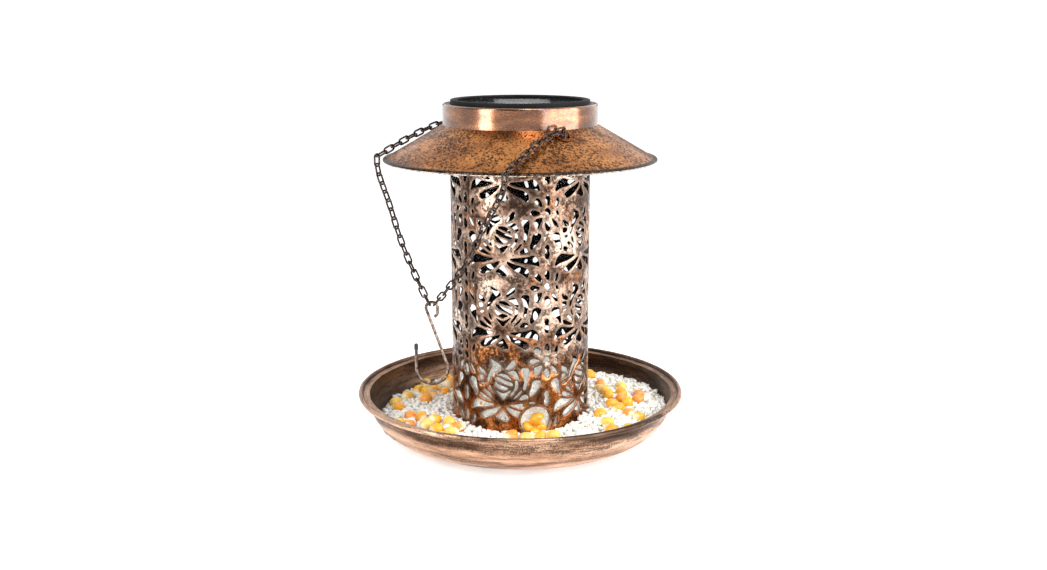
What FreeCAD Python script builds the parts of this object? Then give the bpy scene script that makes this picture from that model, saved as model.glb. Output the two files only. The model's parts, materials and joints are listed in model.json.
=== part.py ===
import FreeCAD, Part
import math
import os
from FreeCAD import Vector

# Hanging bird feeder: a pierced copper tube on a round seed tray, under a conical roof that
# carries a solar light in its collar and hangs from a chain with a wire hook.
# Millimetres and degrees. +Z is up, the origin is the middle of the tray's resting plane.
# An azimuth is counted from the front (-Y) towards +X.

UP = Vector(0, 0, 1)
ORIGIN = Vector(0, 0, 0)

# ---------------------------------------------------------------- driving dimensions
SHEET = 0.8                     # spun copper sheet

TRAY_HEIGHT = 34.0
TRAY_LIP_R = 115.0              # outside of the rolled lip
TRAY_BEAD_R = 1.8
TRAY_WALL_R = 108.0             # outside of the bowl under its lip
TRAY_WALL_TOP = 31.2
TRAY_BASE_R = 57.2              # outer edge of the flat ring it stands on
TRAY_BOSS_R = 49.0
TRAY_BOSS_RISE = 3.0
TRAY_FULLNESS = 0.66            # below 1 the bowl is fuller than an ellipse
DRAIN_R = 1.75
DRAIN_CIRCLE_R = 54.6
DRAIN_COUNT = 6

TUBE_R = 48.25
TUBE_WALL = 1.0
TUBE_TOP = 218.8
LINER_R = 46.35
LINER_WALL = 0.8
LINER_TOP = 217.0
PLATE_R = 47.2
PLATE_T = 1.2
PLATE_FLANGE_TOP = 12.0

RIVET_Z = 8.5
RIVET_R = 1.5
RIVET_HOLE_R = 1.55

PORT_AZIMUTHS = {"front": 12.5, "rear": 192.5}
PORT_Z = 23.1
PORT_R = 10.2                   # clear radius of a seed port
PORT_HOLE_R = 10.9
PORT_FLANGE_R = 11.6

TILE_COLUMNS = 5
TILE_ROWS = 4
TILE_HEIGHT = 50.5
TILE_FIRST_AZIMUTH = -13.9
TILE_FIRST_Z = 36.0
PATTERN_LOW = 8.0
PATTERN_HIGH = 208.0

FIXING_COUNT = 3
FIXING_CIRCLE_R = 32.0
BOLT_R = 1.95
BOLT_HOLE_R = 2.1
BOLT_HEAD_R = 3.8
BOLT_HEAD_FOOT = 0.55           # the heads stay clear of what the tray stands on
BOLT_HEAD_TOP = 2.95
BOLT_TOP = 9.4
WASHER_R = 4.5
WASHER_T = 0.8
NUT_ACROSS = 7.0
NUT_T = 3.2

COLLAR_R = 53.1
COLLAR_FOOT = 220.1
COLLAR_TOP = 234.3
COLLAR_MOUTH_R = 48.0
ROOF_RIM_R = 94.0
ROOF_BEAD_R = 1.2
ROOF_SLOPE = 30.0
SEAT_TOP = 220.0
SEAT_UNDER = 219.0
SKIRT_FOOT = 211.0

HOLE_LINE_AZIMUTH = 28.0        # front chain hole, the rear one is opposite
HOLE_CIRCLE_R = 59.5
EYELET_R = 4.1

ANCHOR_FOOT = 191.7
ANCHOR_TOP = 198.1
ANCHOR_HALF_WIDTH = 7.0
STAPLE_WIRE_R = 0.8
STAPLE_HALF_WIDTH = 2.2
STAPLE_REACH = 7.6

MODULE_TOP = 237.0
BEZEL_R = 47.65
BEZEL_LIP_R = 43.2
HOUSING_R = 46.6
HOUSING_SHOULDER = 220.3
HOUSING_TOP = 232.0
DRUM_R = 38.0
DRUM_FOOT = 206.0
HOUSING_WALL = 1.6
BEZEL_FOOT = 228.5
WINDOW_TOP = 235.6
GASKET_T = 0.8
BOARD_T = 1.0
CELL_T = 0.2
CELL_COUNT = 4
CELL_PITCH = 14.0
CELL_WIDTH = 13.4
CELL_HALF_LENGTH = 27.5
CIRCUIT_R = 42.0
CIRCUIT_FOOT = 221.9            # it rests on the housing's shoulder
CIRCUIT_T = 1.6
LAMP_R = 2.5
LAMP_Z = 209.5                  # middle of the lamp's dome
DIFFUSER_R = 8.0
DIFFUSER_WALL = 1.2
BATTERY_Y = 19.5
BATTERY_Z = 214.0
BATTERY_HALF_LENGTH = 21.0
BATTERY_R = 5.2
COVER_SCREW_X = 28.0
COVER_HALF_WIDTH = 8.5
SWITCH_Y = -21.5

CHAIN_WIRE = 1.3
LINK_INSIDE_LENGTH = 7.1
LINK_INSIDE_WIDTH = 2.6
LINK_PITCH = 6.9                # longest pitch that leaves neighbouring wires apart
LINK_REACH = LINK_INSIDE_LENGTH + CHAIN_WIRE
WIRE_STEP = (LINK_REACH - LINK_PITCH) / 2     # end wire's place past a joint of the chain
PIN_STEP = 1.6                  # between a hinge wire and the wire that turns round it
CHAIN_HEIGHT = 4.1              # of the chain's middle over the cone, measured upright
CROSSING_R = 98.0               # where the chain turns down over the rim
CROSSING_AZIMUTHS = {"left": -87.0, "right": -5.4}
FALL_SAG = {"left": 5.8, "right": 7.0}
FIRST_DROP = 6.0                # the hanging chain leaves the rim straight down for this much
DRAPE_BOW = {"front": 9.5, "rear": 0.0}

EYE_MIDDLE = Vector(-59.0, -45.6, 101.9)
HOOK_WIRE_R = 1.05
EYE_R = 3.85
EYE_CORNER_R = 3.0
EYE_END_LENGTH = 1.75
SHANK_LEAN = 19.6
SHANK_LENGTH = 39.8
BEND_R = 10.6
TIP_RISE = 15.3
CAP_R = 1.4
CAP_GRIP = 2.0

SEED_HEAP = [(49.7, 18.0), (62.0, 19.5), (78.0, 19.0), (92.0, 17.5), (125.0, 13.0)]
SEED_TILT = 2.3                 # the heap leans, high on the +X side
SEED_FILL_TOP = 54.0


# ---------------------------------------------------------------- helpers
def polar(radius, azimuth, z):
    """Point on a circle about Z."""
    angle = math.radians(azimuth)
    return Vector(radius * math.sin(angle), -radius * math.cos(angle), z)


def spun(points):
    """Solid of revolution about Z of a closed outline of (radius, height) points."""
    outline = Part.makePolygon([Vector(r, 0, z) for r, z in points + points[:1]])
    return Part.Face(outline).revolve(ORIGIN, UP, 360)


def disc(radius, low, high):
    return Part.makeCylinder(radius, high - low, Vector(0, 0, low))


def ring(inner, outer, low, high):
    return disc(outer, low, high).cut(disc(inner, low, high))


def rod(start, end, radius):
    return Part.makeCylinder(radius, (end - start).Length, start, end - start)


def box(low, high):
    size = high - low
    return Part.makeBox(size.x, size.y, size.z, low)


def fused(shapes):
    """One solid out of overlapping ones."""
    return shapes[0].fuse(shapes[1:]).removeSplitter()


def rounded(shape, radius, height, fillet):
    """Rounds the circular edges of one radius and height."""
    edges = []
    for edge in shape.Edges:
        if not isinstance(edge.Curve, Part.Circle):
            continue
        if abs(edge.Curve.Radius - radius) < 0.01 and abs(edge.Curve.Center.z - height) < 0.01:
            edges.append(edge)
    return shape.makeFillet(fillet, edges)


def swept_wire(edges, radius):
    """Round wire of one radius along tangent edges."""
    path = Part.Wire(edges)
    first = path.OrderedEdges[0]
    start = first.valueAt(first.FirstParameter)
    heading = first.tangentAt(first.FirstParameter)
    section = Part.Wire(Part.makeCircle(radius, start, heading))
    return path.makePipeShell([section], True, False).Solids[0]


def smooth_edge(points):
    curve = Part.BSplineCurve()
    curve.interpolate(points)
    return curve.toShape()


def save(name, shapes):
    """Writes one node, as one solid or as a group of separate solids."""
    solids = [solid for shape in shapes for solid in shape.Solids]
    node = solids[0] if len(solids) == 1 else Part.makeCompound(solids)
    node.exportStep("parts/" + name + ".step")
    print(name, len(solids), "solids", round(sum(s.Volume for s in solids), 1), "mm3",
          "valid" if node.isValid() else "INVALID")


# ---------------------------------------------------------------- seed tray
def bowl_edge(inset):
    """Bowl section from the flat ring to the wall's top, moved inwards by inset."""
    width = TRAY_WALL_R - TRAY_BASE_R
    points = []
    for degrees in (0, 12, 25, 38, 50, 62, 75, 90):
        angle = math.radians(degrees)
        sine = max(math.sin(angle), 0.001)
        radius = TRAY_BASE_R + width * sine ** TRAY_FULLNESS * (1 if degrees else 0)
        height = TRAY_WALL_TOP * (1 - math.cos(angle))
        slope_r = width * TRAY_FULLNESS * sine ** (TRAY_FULLNESS - 1) * math.cos(angle)
        slope_z = TRAY_WALL_TOP * math.sin(angle)
        length = math.hypot(slope_r, slope_z)
        points.append(Vector(radius - inset * slope_z / length, 0, height + inset * slope_r / length))
    return smooth_edge(points)


def tray_section(inset, close_at_axis):
    """Outline edges of the tray's floor and wall, moved inwards by inset."""
    bowl = bowl_edge(inset)
    foot = bowl.valueAt(bowl.FirstParameter)
    floor = Part.makePolygon([
        Vector(0, 0, TRAY_BOSS_RISE + inset),
        Vector(TRAY_BOSS_R, 0, TRAY_BOSS_RISE + inset),
        Vector(TRAY_BOSS_R + TRAY_BOSS_RISE, 0, inset),
        foot])
    edges = floor.Edges + [bowl]
    if close_at_axis:
        top = bowl.valueAt(bowl.LastParameter)
        edges += Part.makePolygon([top, Vector(0, 0, top.z), Vector(0, 0, TRAY_BOSS_RISE + inset)]).Edges
    return edges


def tray_inside(inset):
    """Solid that fills the tray to its wall's top, inset from its outside."""
    return Part.Face(Part.Wire(tray_section(inset, True))).revolve(ORIGIN, UP, 360)


def tray_holes():
    tools = []
    for index in range(DRAIN_COUNT):
        spot = polar(DRAIN_CIRCLE_R, 360 / DRAIN_COUNT * index + 15, -1)
        tools.append(Part.makeCylinder(DRAIN_R, 6, spot))
    for spot in fixing_spots():
        tools.append(Part.makeCylinder(BOLT_HOLE_R, 12, spot + Vector(0, 0, -1)))
    return tools


def seed_tray():
    """Spun bowl with a raised middle, a flared lip and a rolled edge."""
    shell = tray_inside(0).cut(tray_inside(SHEET))
    bead_middle = TRAY_HEIGHT - TRAY_BEAD_R
    reach = TRAY_LIP_R - TRAY_BEAD_R
    flare = spun([
        (TRAY_WALL_R - SHEET, TRAY_WALL_TOP - 1.0), (TRAY_WALL_R, TRAY_WALL_TOP - 1.0),
        (TRAY_WALL_R + 0.4, TRAY_WALL_TOP - 0.4), (reach, bead_middle - SHEET),
        (reach, bead_middle), (TRAY_WALL_R - SHEET, TRAY_WALL_TOP + 0.4)])
    bead = Part.makeTorus(reach, TRAY_BEAD_R, Vector(0, 0, bead_middle))
    return fused([shell, flare, bead]).cut(tray_holes())


def fixing_spots():
    return [polar(FIXING_CIRCLE_R, 360 / FIXING_COUNT * i + 40, 0) for i in range(FIXING_COUNT)]


def hexagon(spot, across, low, high):
    corner = across / 2 / math.cos(math.radians(30))
    points = [spot + polar(corner, 60 * i, low) for i in range(6)]
    return Part.Face(Part.makePolygon(points + points[:1])).extrude(UP * (high - low))


def tray_bolt(spot):
    """Pan-head bolt, its head in the recess under the tray's raised middle."""
    head = rod(spot + UP * BOLT_HEAD_FOOT, spot + UP * BOLT_HEAD_TOP, BOLT_HEAD_R)
    head = rounded(head, BOLT_HEAD_R, BOLT_HEAD_FOOT, 0.9)
    slot = box(spot + Vector(-BOLT_HEAD_R - 0.2, -0.5, 0), spot + Vector(BOLT_HEAD_R + 0.2, 0.5, 1.3))
    shank = rod(spot + UP * (BOLT_HEAD_TOP - 0.1), spot + UP * BOLT_TOP, BOLT_R)
    return fused([head.cut(slot), shank])


def tray_fixings():
    plate_top = TRAY_BOSS_RISE + SHEET + PLATE_T
    washer_top = plate_top + WASHER_T
    bolts = []
    washers = []
    nuts = []
    for spot in fixing_spots():
        bore = Part.makeCylinder(BOLT_R + 0.05, 20, spot)
        washers.append(rod(spot + UP * plate_top, spot + UP * washer_top, WASHER_R).cut(bore))
        nuts.append(hexagon(spot, NUT_ACROSS, washer_top, washer_top + NUT_T).cut(bore))
        bolts.append(tray_bolt(spot))
    return bolts, washers, nuts


# ---------------------------------------------------------------- pierced tube
def teardrop(u1, z1, r1, u2, z2, r2, column, row):
    """Radial cutter: a slot with one end of radius r1 and the other of r2, on the tube's skin."""
    hub_azimuth = TILE_FIRST_AZIMUTH + 360 / TILE_COLUMNS * column
    azimuth = hub_azimuth + math.degrees((u1 + u2) / 2 / TUBE_R)
    height = TILE_FIRST_Z + TILE_HEIGHT * row + (z1 + z2) / 2
    if not PATTERN_LOW < height < PATTERN_HIGH or near_port(azimuth, height):
        return None
    outward = polar(1, azimuth, 0)
    across = polar(1, azimuth + 90, 0)
    middle = outward * (TUBE_R - 4) + Vector(0, 0, height)
    run = Vector(u2 - u1, z2 - z1, 0)
    if run.Length < 0.01:
        return Part.makeCylinder(r1, 8, middle, outward)
    heading = run / run.Length
    tilt = math.acos((r1 - r2) / run.Length)
    start = run * -0.5
    end = run * 0.5

    def on_skin(centre, radius, angle):
        turned = FreeCAD.Rotation(UP, math.degrees(angle)).multVec(heading)
        spot = centre + turned * radius
        return middle + across * spot.x + UP * spot.y

    edges = [
        Part.LineSegment(on_skin(start, r1, tilt), on_skin(end, r2, tilt)).toShape(),
        Part.Arc(on_skin(end, r2, tilt), on_skin(end, r2, 0), on_skin(end, r2, -tilt)).toShape(),
        Part.LineSegment(on_skin(end, r2, -tilt), on_skin(start, r1, -tilt)).toShape(),
        Part.Arc(on_skin(start, r1, -tilt), on_skin(start, r1, math.pi), on_skin(start, r1, tilt)).toShape()]
    return Part.Face(Part.Wire(edges)).extrude(outward * 8)


def near_port(azimuth, height):
    for port in PORT_AZIMUTHS.values():
        turn = (azimuth - port + 180) % 360 - 180
        if math.hypot(math.radians(turn) * TUBE_R, height - PORT_Z) < PORT_HOLE_R + 5:
            return True
    return False


def tile_holes():
    """The openings round one hub of the scroll pattern: u1, z1, r1, u2, z2, r2."""
    holes = [
        (6.5, -2.4, 2.4, 19.0, -3.4, 1.3),        # comma to the right
        (5.0, -6.5, 1.2, 12.5, -11.5, 2.2),       # slot down to the right
        (0.0, -12.5, 2.8, 0.0, -12.5, 2.8),       # drop below the hub
        (-4.5, -5.5, 1.2, -13.0, -9.5, 2.2),      # slot down to the left
        (-8.5, -1.8, 2.0, -19.0, -3.6, 1.2),      # comma to the left
        (-3.0, 4.6, 1.6, 3.0, 4.6, 1.6),          # crescent over the hub
        (-3.4, 10.6, 1.3, 3.4, 12.2, 1.3),        # lower half of the rose
        (-3.0, 15.8, 1.3, 3.0, 17.4, 1.3),        # upper half of the rose
        (-4.5, 23.2, 1.6, -10.4, 15.2, 1.6),      # arc to the left of the rose
        (-16.5, 16.0, 1.1, -12.5, 9.5, 1.1),      # thin arc outside it
        (12.0, 20.5, 1.6, 10.5, 12.0, 1.6),       # arc to the right of the rose
        (24.0, 14.0, 2.4, 17.5, 6.5, 1.3),        # slanted drop
        (2.5, 27.0, 1.4, 6.5, 31.0, 1.4),         # slot over the rose
        (30.3, 0.5, 2.1, 30.3, 4.5, 2.1)]         # keyhole between two hubs
    for petal in range(6):
        angle = math.radians(60 * petal + 20)
        petal_u = 27.0 + 7.5 * math.cos(angle)
        petal_z = -22.0 + 7.5 * math.sin(angle)
        tip_u = 27.0 + 5.0 * math.cos(angle)
        tip_z = -22.0 + 5.0 * math.sin(angle)
        holes.append((petal_u, petal_z, 2.0, tip_u, tip_z, 1.2))
    return holes


def port_cutter(azimuth, radius):
    """Cylinder along a port's axis, out from inside the tube."""
    outward = polar(1, azimuth, 0)
    return Part.makeCylinder(radius, 20, outward * (TUBE_R - 10) + Vector(0, 0, PORT_Z), outward)


def rivet_azimuths():
    return [PORT_AZIMUTHS["front"] + 45 + 90 * i for i in range(4)]


def lattice_tube():
    foot = TRAY_BOSS_RISE + SHEET
    wall = ring(TUBE_R - TUBE_WALL, TUBE_R, foot, TUBE_TOP)
    cutters = [port_cutter(azimuth, PORT_HOLE_R) for azimuth in PORT_AZIMUTHS.values()]
    for azimuth in rivet_azimuths():
        cutters.append(rod(polar(40, azimuth, RIVET_Z), polar(55, azimuth, RIVET_Z), RIVET_HOLE_R))
    for column in range(TILE_COLUMNS):
        for row in range(-1, TILE_ROWS):
            for hole in tile_holes():
                cutters.append(teardrop(*hole, column, row))
    return wall.cut([cutter for cutter in cutters if cutter])


def seed_liner():
    """Clear sleeve that keeps the seed off the pierced wall."""
    foot = TRAY_BOSS_RISE + SHEET + PLATE_T
    sleeve = ring(LINER_R - LINER_WALL, LINER_R, foot + 0.1, LINER_TOP)
    return sleeve.cut([port_cutter(azimuth, PORT_HOLE_R) for azimuth in PORT_AZIMUTHS.values()])


def tube_base_plate():
    """Disc with an upturned flange that the tube is riveted to."""
    low = TRAY_BOSS_RISE + SHEET
    plate = spun([
        (0, low), (PLATE_R, low), (PLATE_R, PLATE_FLANGE_TOP), (LINER_R + 0.1, PLATE_FLANGE_TOP),
        (LINER_R + 0.1, low + PLATE_T), (0, low + PLATE_T)])
    cutters = [Part.makeCylinder(BOLT_HOLE_R, 12, spot) for spot in fixing_spots()]
    cutters += [port_cutter(azimuth, PORT_HOLE_R) for azimuth in PORT_AZIMUTHS.values()]
    for azimuth in rivet_azimuths():
        cutters.append(rod(polar(40, azimuth, RIVET_Z), polar(55, azimuth, RIVET_Z), RIVET_HOLE_R))
    return plate.cut(cutters)


def base_rivets():
    rivets = []
    for azimuth in rivet_azimuths():
        start = polar(LINER_R + 0.1, azimuth, RIVET_Z)
        skin = polar(TUBE_R + 0.05, azimuth, RIVET_Z)
        shank = rod(start, polar(TUBE_R + 0.2, azimuth, RIVET_Z), RIVET_R)
        dome = Part.makeSphere(3.0, polar(TUBE_R - 1.6, azimuth, RIVET_Z))
        head = dome.common(rod(skin, polar(TUBE_R + 2, azimuth, RIVET_Z), 2.6))
        rivets.append(fused([head, shank]))
    return rivets


def port_grommet(azimuth):
    """Rolled copper ring that lines a seed port and bears on the tube's skin."""
    inside = LINER_R - LINER_WALL + 0.1
    bore = port_cutter(azimuth, PORT_R)
    sleeve = port_cutter(azimuth, PORT_HOLE_R - 0.1).common(ring(inside, TUBE_R + 0.9, 2, 40))
    flange = port_cutter(azimuth, PORT_FLANGE_R).common(ring(TUBE_R + 0.05, TUBE_R + 1.0, 2, 40))
    front_half = Part.makeBox(60, 60, 60, Vector(-30, -60, 0))
    front_half.rotate(ORIGIN, UP, azimuth)
    ring_shape = fused([sleeve.common(front_half), flange.common(front_half)])
    return ring_shape.cut(bore)


# ---------------------------------------------------------------- chain anchors and seed
def chain_anchor(azimuth):
    """Saddle plate riveted to the tube's top, with the staple that the chain ends at."""
    outward = polar(1, azimuth, 0)
    across = polar(1, azimuth + 90, 0)
    shell = ring(TUBE_R + 0.1, TUBE_R + 1.1, ANCHOR_FOOT, ANCHOR_TOP)
    plate = shell.common(across_box(azimuth, ANCHOR_HALF_WIDTH, ANCHOR_FOOT, ANCHOR_TOP))
    middle = outward * (TUBE_R + 0.6) + UP * ((ANCHOR_FOOT + ANCHOR_TOP) / 2)
    legs = [middle + across * side for side in (-STAPLE_HALF_WIDTH, STAPLE_HALF_WIDTH)]
    reach = outward * (STAPLE_REACH - STAPLE_HALF_WIDTH)
    bend = Part.Arc(legs[0] + reach, middle + outward * STAPLE_REACH, legs[1] + reach)
    edges = [
        Part.LineSegment(legs[0], legs[0] + reach).toShape(), bend.toShape(),
        Part.LineSegment(legs[1] + reach, legs[1]).toShape()]
    staple = swept_wire(edges, STAPLE_WIRE_R)
    heads = []
    for side in (-1, 1):
        spot = middle + across * (side * (ANCHOR_HALF_WIDTH - 2.0))
        heads.append(rod(spot - outward * 0.3, spot + outward * 1.0, 1.4))
    return fused([plate, staple] + heads)


def across_box(azimuth, half_width, low, high):
    block = Part.makeBox(half_width * 2, 30, high - low, Vector(-half_width, -TUBE_R - 15, low))
    block.rotate(ORIGIN, UP, azimuth)
    return block


def tray_seed_bed():
    """Heap of seed between the tube and the tray's wall."""
    under = [(SEED_HEAP[-1][0], -9.0), (SEED_HEAP[0][0], -9.0)]
    heap = spun(SEED_HEAP + under)
    heap.rotate(ORIGIN, Vector(0, 1, 0), -SEED_TILT)
    keep_off = disc(SEED_HEAP[0][0], -5, 40)
    return heap.common(tray_inside(SHEET + 0.25)).cut(keep_off)


def tube_seed_fill():
    """Seed inside the liner, slumped away from the upper half of each port."""
    fill = disc(LINER_R - LINER_WALL - 0.15, 9.6, SEED_FILL_TOP)
    pockets = []
    for azimuth in PORT_AZIMUTHS.values():
        outward = polar(1, azimuth, 0)
        slump = Part.makeBox(24, 20, 12, Vector(-12, 8 - TUBE_R - 20, PORT_Z - 2))
        slump.rotate(ORIGIN, UP, azimuth)
        mouth = Part.makeCylinder(PORT_R, 30, outward * 30 + Vector(0, 0, PORT_Z), outward)
        pockets.append(slump.common(mouth))
    return fill.cut(pockets)


# ---------------------------------------------------------------- roof
def cone_z(radius):
    """Height of the roof's outside at a radius."""
    return COLLAR_FOOT - (radius - COLLAR_R) * math.tan(math.radians(ROOF_SLOPE))


def cone_normal(azimuth):
    """Outward normal of the roof's cone."""
    return polar(math.sin(math.radians(ROOF_SLOPE)), azimuth, math.cos(math.radians(ROOF_SLOPE)))


def chain_hole(azimuth):
    return polar(HOLE_CIRCLE_R, azimuth, cone_z(HOLE_CIRCLE_R))


def hole_azimuths():
    return {"front": HOLE_LINE_AZIMUTH, "rear": HOLE_LINE_AZIMUTH + 180}


def roof_cone():
    """Spun cone with a rolled rim, its hole a close fit round the collar."""
    edge_r = ROOF_RIM_R - ROOF_BEAD_R
    hole_r = COLLAR_R + 0.06
    drop = SHEET / math.cos(math.radians(ROOF_SLOPE))
    skin = spun([
        (edge_r, cone_z(edge_r)), (hole_r, cone_z(hole_r)),
        (hole_r, cone_z(hole_r) - drop), (edge_r, cone_z(edge_r) - drop)])
    bead = Part.makeTorus(edge_r, ROOF_BEAD_R, Vector(0, 0, cone_z(edge_r) - drop / 2))
    cutters = []
    for azimuth in hole_azimuths().values():
        normal = cone_normal(azimuth)
        cutters.append(Part.makeCylinder(EYELET_R + 0.5, 6, chain_hole(azimuth) - normal * 3, normal))
    return fused([skin, bead]).cut(cutters)


def roof_collar():
    """Straight band that stands in the cone's hole, turned in at its top round the light."""
    inner_r = COLLAR_R - SHEET
    foot = SEAT_UNDER
    band = spun([
        (inner_r, foot), (COLLAR_R, foot), (COLLAR_R, COLLAR_TOP), (COLLAR_MOUTH_R, COLLAR_TOP),
        (COLLAR_MOUTH_R, COLLAR_TOP - SHEET), (inner_r, COLLAR_TOP - SHEET)])
    return rounded(band, COLLAR_R, COLLAR_TOP, 1.4)


def roof_seat_ring():
    """Flat ring that rests on the tube, with a skirt that centres it in the liner."""
    return spun([
        (COLLAR_R - SHEET - 0.1, SEAT_TOP), (COLLAR_R - SHEET - 0.1, SEAT_UNDER),
        (45.2, SEAT_UNDER), (45.2, SKIRT_FOOT), (44.4, SKIRT_FOOT), (44.4, SEAT_UNDER + 0.4),
        (43.6, SEAT_UNDER + 0.4), (43.6, SEAT_TOP)])


def roof_eyelet(azimuth):
    """Rolled eyelet that the chain runs through."""
    normal = cone_normal(azimuth)
    middle = chain_hole(azimuth)
    parts = [
        Part.makeCylinder(EYELET_R + 0.4, 2.6, middle - normal * 1.8, normal),
        Part.makeCylinder(EYELET_R + 1.6, 0.5, middle + normal * 0.3, normal),
        Part.makeCylinder(EYELET_R + 1.4, 0.5, middle - normal * 1.8, normal)]
    bore = Part.makeCylinder(EYELET_R, 6, middle - normal * 3, normal)
    return fused(parts).cut(bore)


# ---------------------------------------------------------------- solar module
def module_shoulder():
    """Dish with an open middle that sits in the collar and holds the panel."""
    shoulder_top = HOUSING_SHOULDER + HOUSING_WALL
    return spun([
        (DRUM_R + 0.05, HOUSING_SHOULDER), (HOUSING_R, HOUSING_SHOULDER), (HOUSING_R, HOUSING_TOP),
        (HOUSING_R - HOUSING_WALL, HOUSING_TOP), (HOUSING_R - HOUSING_WALL, shoulder_top),
        (DRUM_R + 0.05, shoulder_top)])


def module_drum():
    """Cup that hangs from the shoulder into the tube, with the lamp, the battery and the switch."""
    drum_top = HOUSING_SHOULDER + HOUSING_WALL
    body = spun([
        (0, DRUM_FOOT), (DRUM_R, DRUM_FOOT), (DRUM_R, drum_top), (DRUM_R - HOUSING_WALL, drum_top),
        (DRUM_R - HOUSING_WALL, DRUM_FOOT + HOUSING_WALL), (0, DRUM_FOOT + HOUSING_WALL)])
    lamp_hole = Part.makeCylinder(5.2, 6, Vector(0, 0, DRUM_FOOT - 2))
    battery_window = box(
        Vector(-25, BATTERY_Y - 7.5, DRUM_FOOT - 1), Vector(25, BATTERY_Y + 7.5, DRUM_FOOT + 3))
    switch_slot = box(Vector(-4.5, SWITCH_Y - 2.5, DRUM_FOOT - 1), Vector(7.5, SWITCH_Y + 2.5, DRUM_FOOT + 3))
    screw_holes = [Part.makeCylinder(0.9, 8, spot - UP * 2) for spot in cover_screw_spots()]
    return body.cut([lamp_hole, battery_window, switch_slot] + screw_holes)


def cover_screw_spots():
    return [Vector(x, BATTERY_Y, DRUM_FOOT) for x in (-COVER_SCREW_X, COVER_SCREW_X)]


def solar_bezel():
    """Black cap ring that clamps the panel on the housing."""
    wall = HOUSING_R + 0.15
    cap = spun([
        (wall, BEZEL_FOOT), (BEZEL_R, BEZEL_FOOT), (BEZEL_R, MODULE_TOP), (BEZEL_LIP_R + 1.2, MODULE_TOP),
        (BEZEL_LIP_R, MODULE_TOP - 0.6), (BEZEL_LIP_R, WINDOW_TOP), (wall, WINDOW_TOP)])
    return rounded(cap, BEZEL_R, MODULE_TOP, 0.6)


def panel_gasket():
    return ring(HOUSING_R - HOUSING_WALL, HOUSING_R, HOUSING_TOP, HOUSING_TOP + GASKET_T)


def panel_board():
    low = HOUSING_TOP + GASKET_T
    return disc(HOUSING_R - 0.1, low, low + BOARD_T)


def panel_window():
    """Clear disc over the cells, held down by the bezel's lip."""
    return disc(HOUSING_R - 0.1, HOUSING_TOP + GASKET_T + BOARD_T + CELL_T + 0.05, WINDOW_TOP - 0.05)


def solar_cells():
    """Dark cells side by side on the panel's board."""
    board_top = HOUSING_TOP + GASKET_T + BOARD_T
    cells = []
    for index in range(CELL_COUNT):
        middle = CELL_PITCH * (index - (CELL_COUNT - 1) / 2)
        low = Vector(middle - CELL_WIDTH / 2, -CELL_HALF_LENGTH, board_top)
        high = Vector(middle + CELL_WIDTH / 2, CELL_HALF_LENGTH, board_top + CELL_T)
        cells.append(box(low, high))
    return cells


def battery_cell():
    end = Vector(BATTERY_HALF_LENGTH, BATTERY_Y, BATTERY_Z)
    barrel = rod(Vector(-BATTERY_HALF_LENGTH, BATTERY_Y, BATTERY_Z), end, BATTERY_R)
    return fused([barrel, rod(end, end + Vector(1.2, 0, 0), 1.9)])


def battery_clips():
    low = Vector(0, BATTERY_Y - 4, DRUM_FOOT + HOUSING_WALL)
    high = Vector(0.4, BATTERY_Y + 4, BATTERY_Z + 4.5)
    shifts = [Vector(-BATTERY_HALF_LENGTH - 0.5, 0, 0), Vector(BATTERY_HALF_LENGTH + 1.3, 0, 0)]
    return [box(low + shift, high + shift) for shift in shifts]


def battery_cover():
    near = BATTERY_Y - COVER_HALF_WIDTH
    far = BATTERY_Y + COVER_HALF_WIDTH
    plate = box(Vector(-31, near, DRUM_FOOT - 1.4), Vector(31, far, DRUM_FOOT - 0.05))
    lip = box(Vector(-24.6, near + 1.4, DRUM_FOOT - 1.4), Vector(24.6, far - 1.4, DRUM_FOOT + 1.2))
    holes = [Part.makeCylinder(1.2, 6, spot - UP * 4) for spot in cover_screw_spots()]
    trimmed = fused([plate, lip]).common(disc(DRUM_R - 0.4, DRUM_FOOT - 2, DRUM_FOOT + 2))
    return trimmed.cut(holes)


def cover_screws():
    screws = []
    for spot in cover_screw_spots():
        head = Part.makeCylinder(1.9, 1.0, spot - UP * 2.45)
        shank = Part.makeCylinder(0.85, 5, spot - UP * 2.4)
        slot = box(spot + Vector(-2, -0.3, -2.5), spot + Vector(2, 0.3, -2.0))
        screws.append(fused([head.cut(slot), shank]))
    return screws


def circuit_board():
    board = disc(CIRCUIT_R, CIRCUIT_FOOT, CIRCUIT_FOOT + CIRCUIT_T)
    return board.cut(Part.makeCylinder(1.2, 6, Vector(0, 5 - CIRCUIT_R, CIRCUIT_FOOT - 2)))


def led_lamp():
    """Lamp on its legs, its dome pointing down into the tube."""
    dome = Part.makeSphere(LAMP_R, UP * LAMP_Z)
    barrel = disc(LAMP_R, LAMP_Z, LAMP_Z + 4.5)
    collar = disc(LAMP_R + 0.4, LAMP_Z + 3.7, LAMP_Z + 4.5)
    legs = [rod(Vector(x, 0, LAMP_Z + 4.2), Vector(x, 0, CIRCUIT_FOOT), 0.25) for x in (-1.27, 1.27)]
    return fused([dome, barrel, collar] + legs)


def led_diffuser():
    """Clear dome under the lamp, pressed into the drum's floor."""
    top = DRUM_FOOT - 0.05
    shell = Part.makeSphere(DIFFUSER_R, UP * top).cut(Part.makeSphere(DIFFUSER_R - DIFFUSER_WALL, UP * top))
    dome = shell.common(disc(DIFFUSER_R + 1, top - DIFFUSER_R - 1, top))
    neck = ring(4.2, 5.1, top, DRUM_FOOT + 2.2)
    brim = ring(4.2, DIFFUSER_R, top - DIFFUSER_WALL, top)
    return fused([dome, brim, neck])


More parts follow.
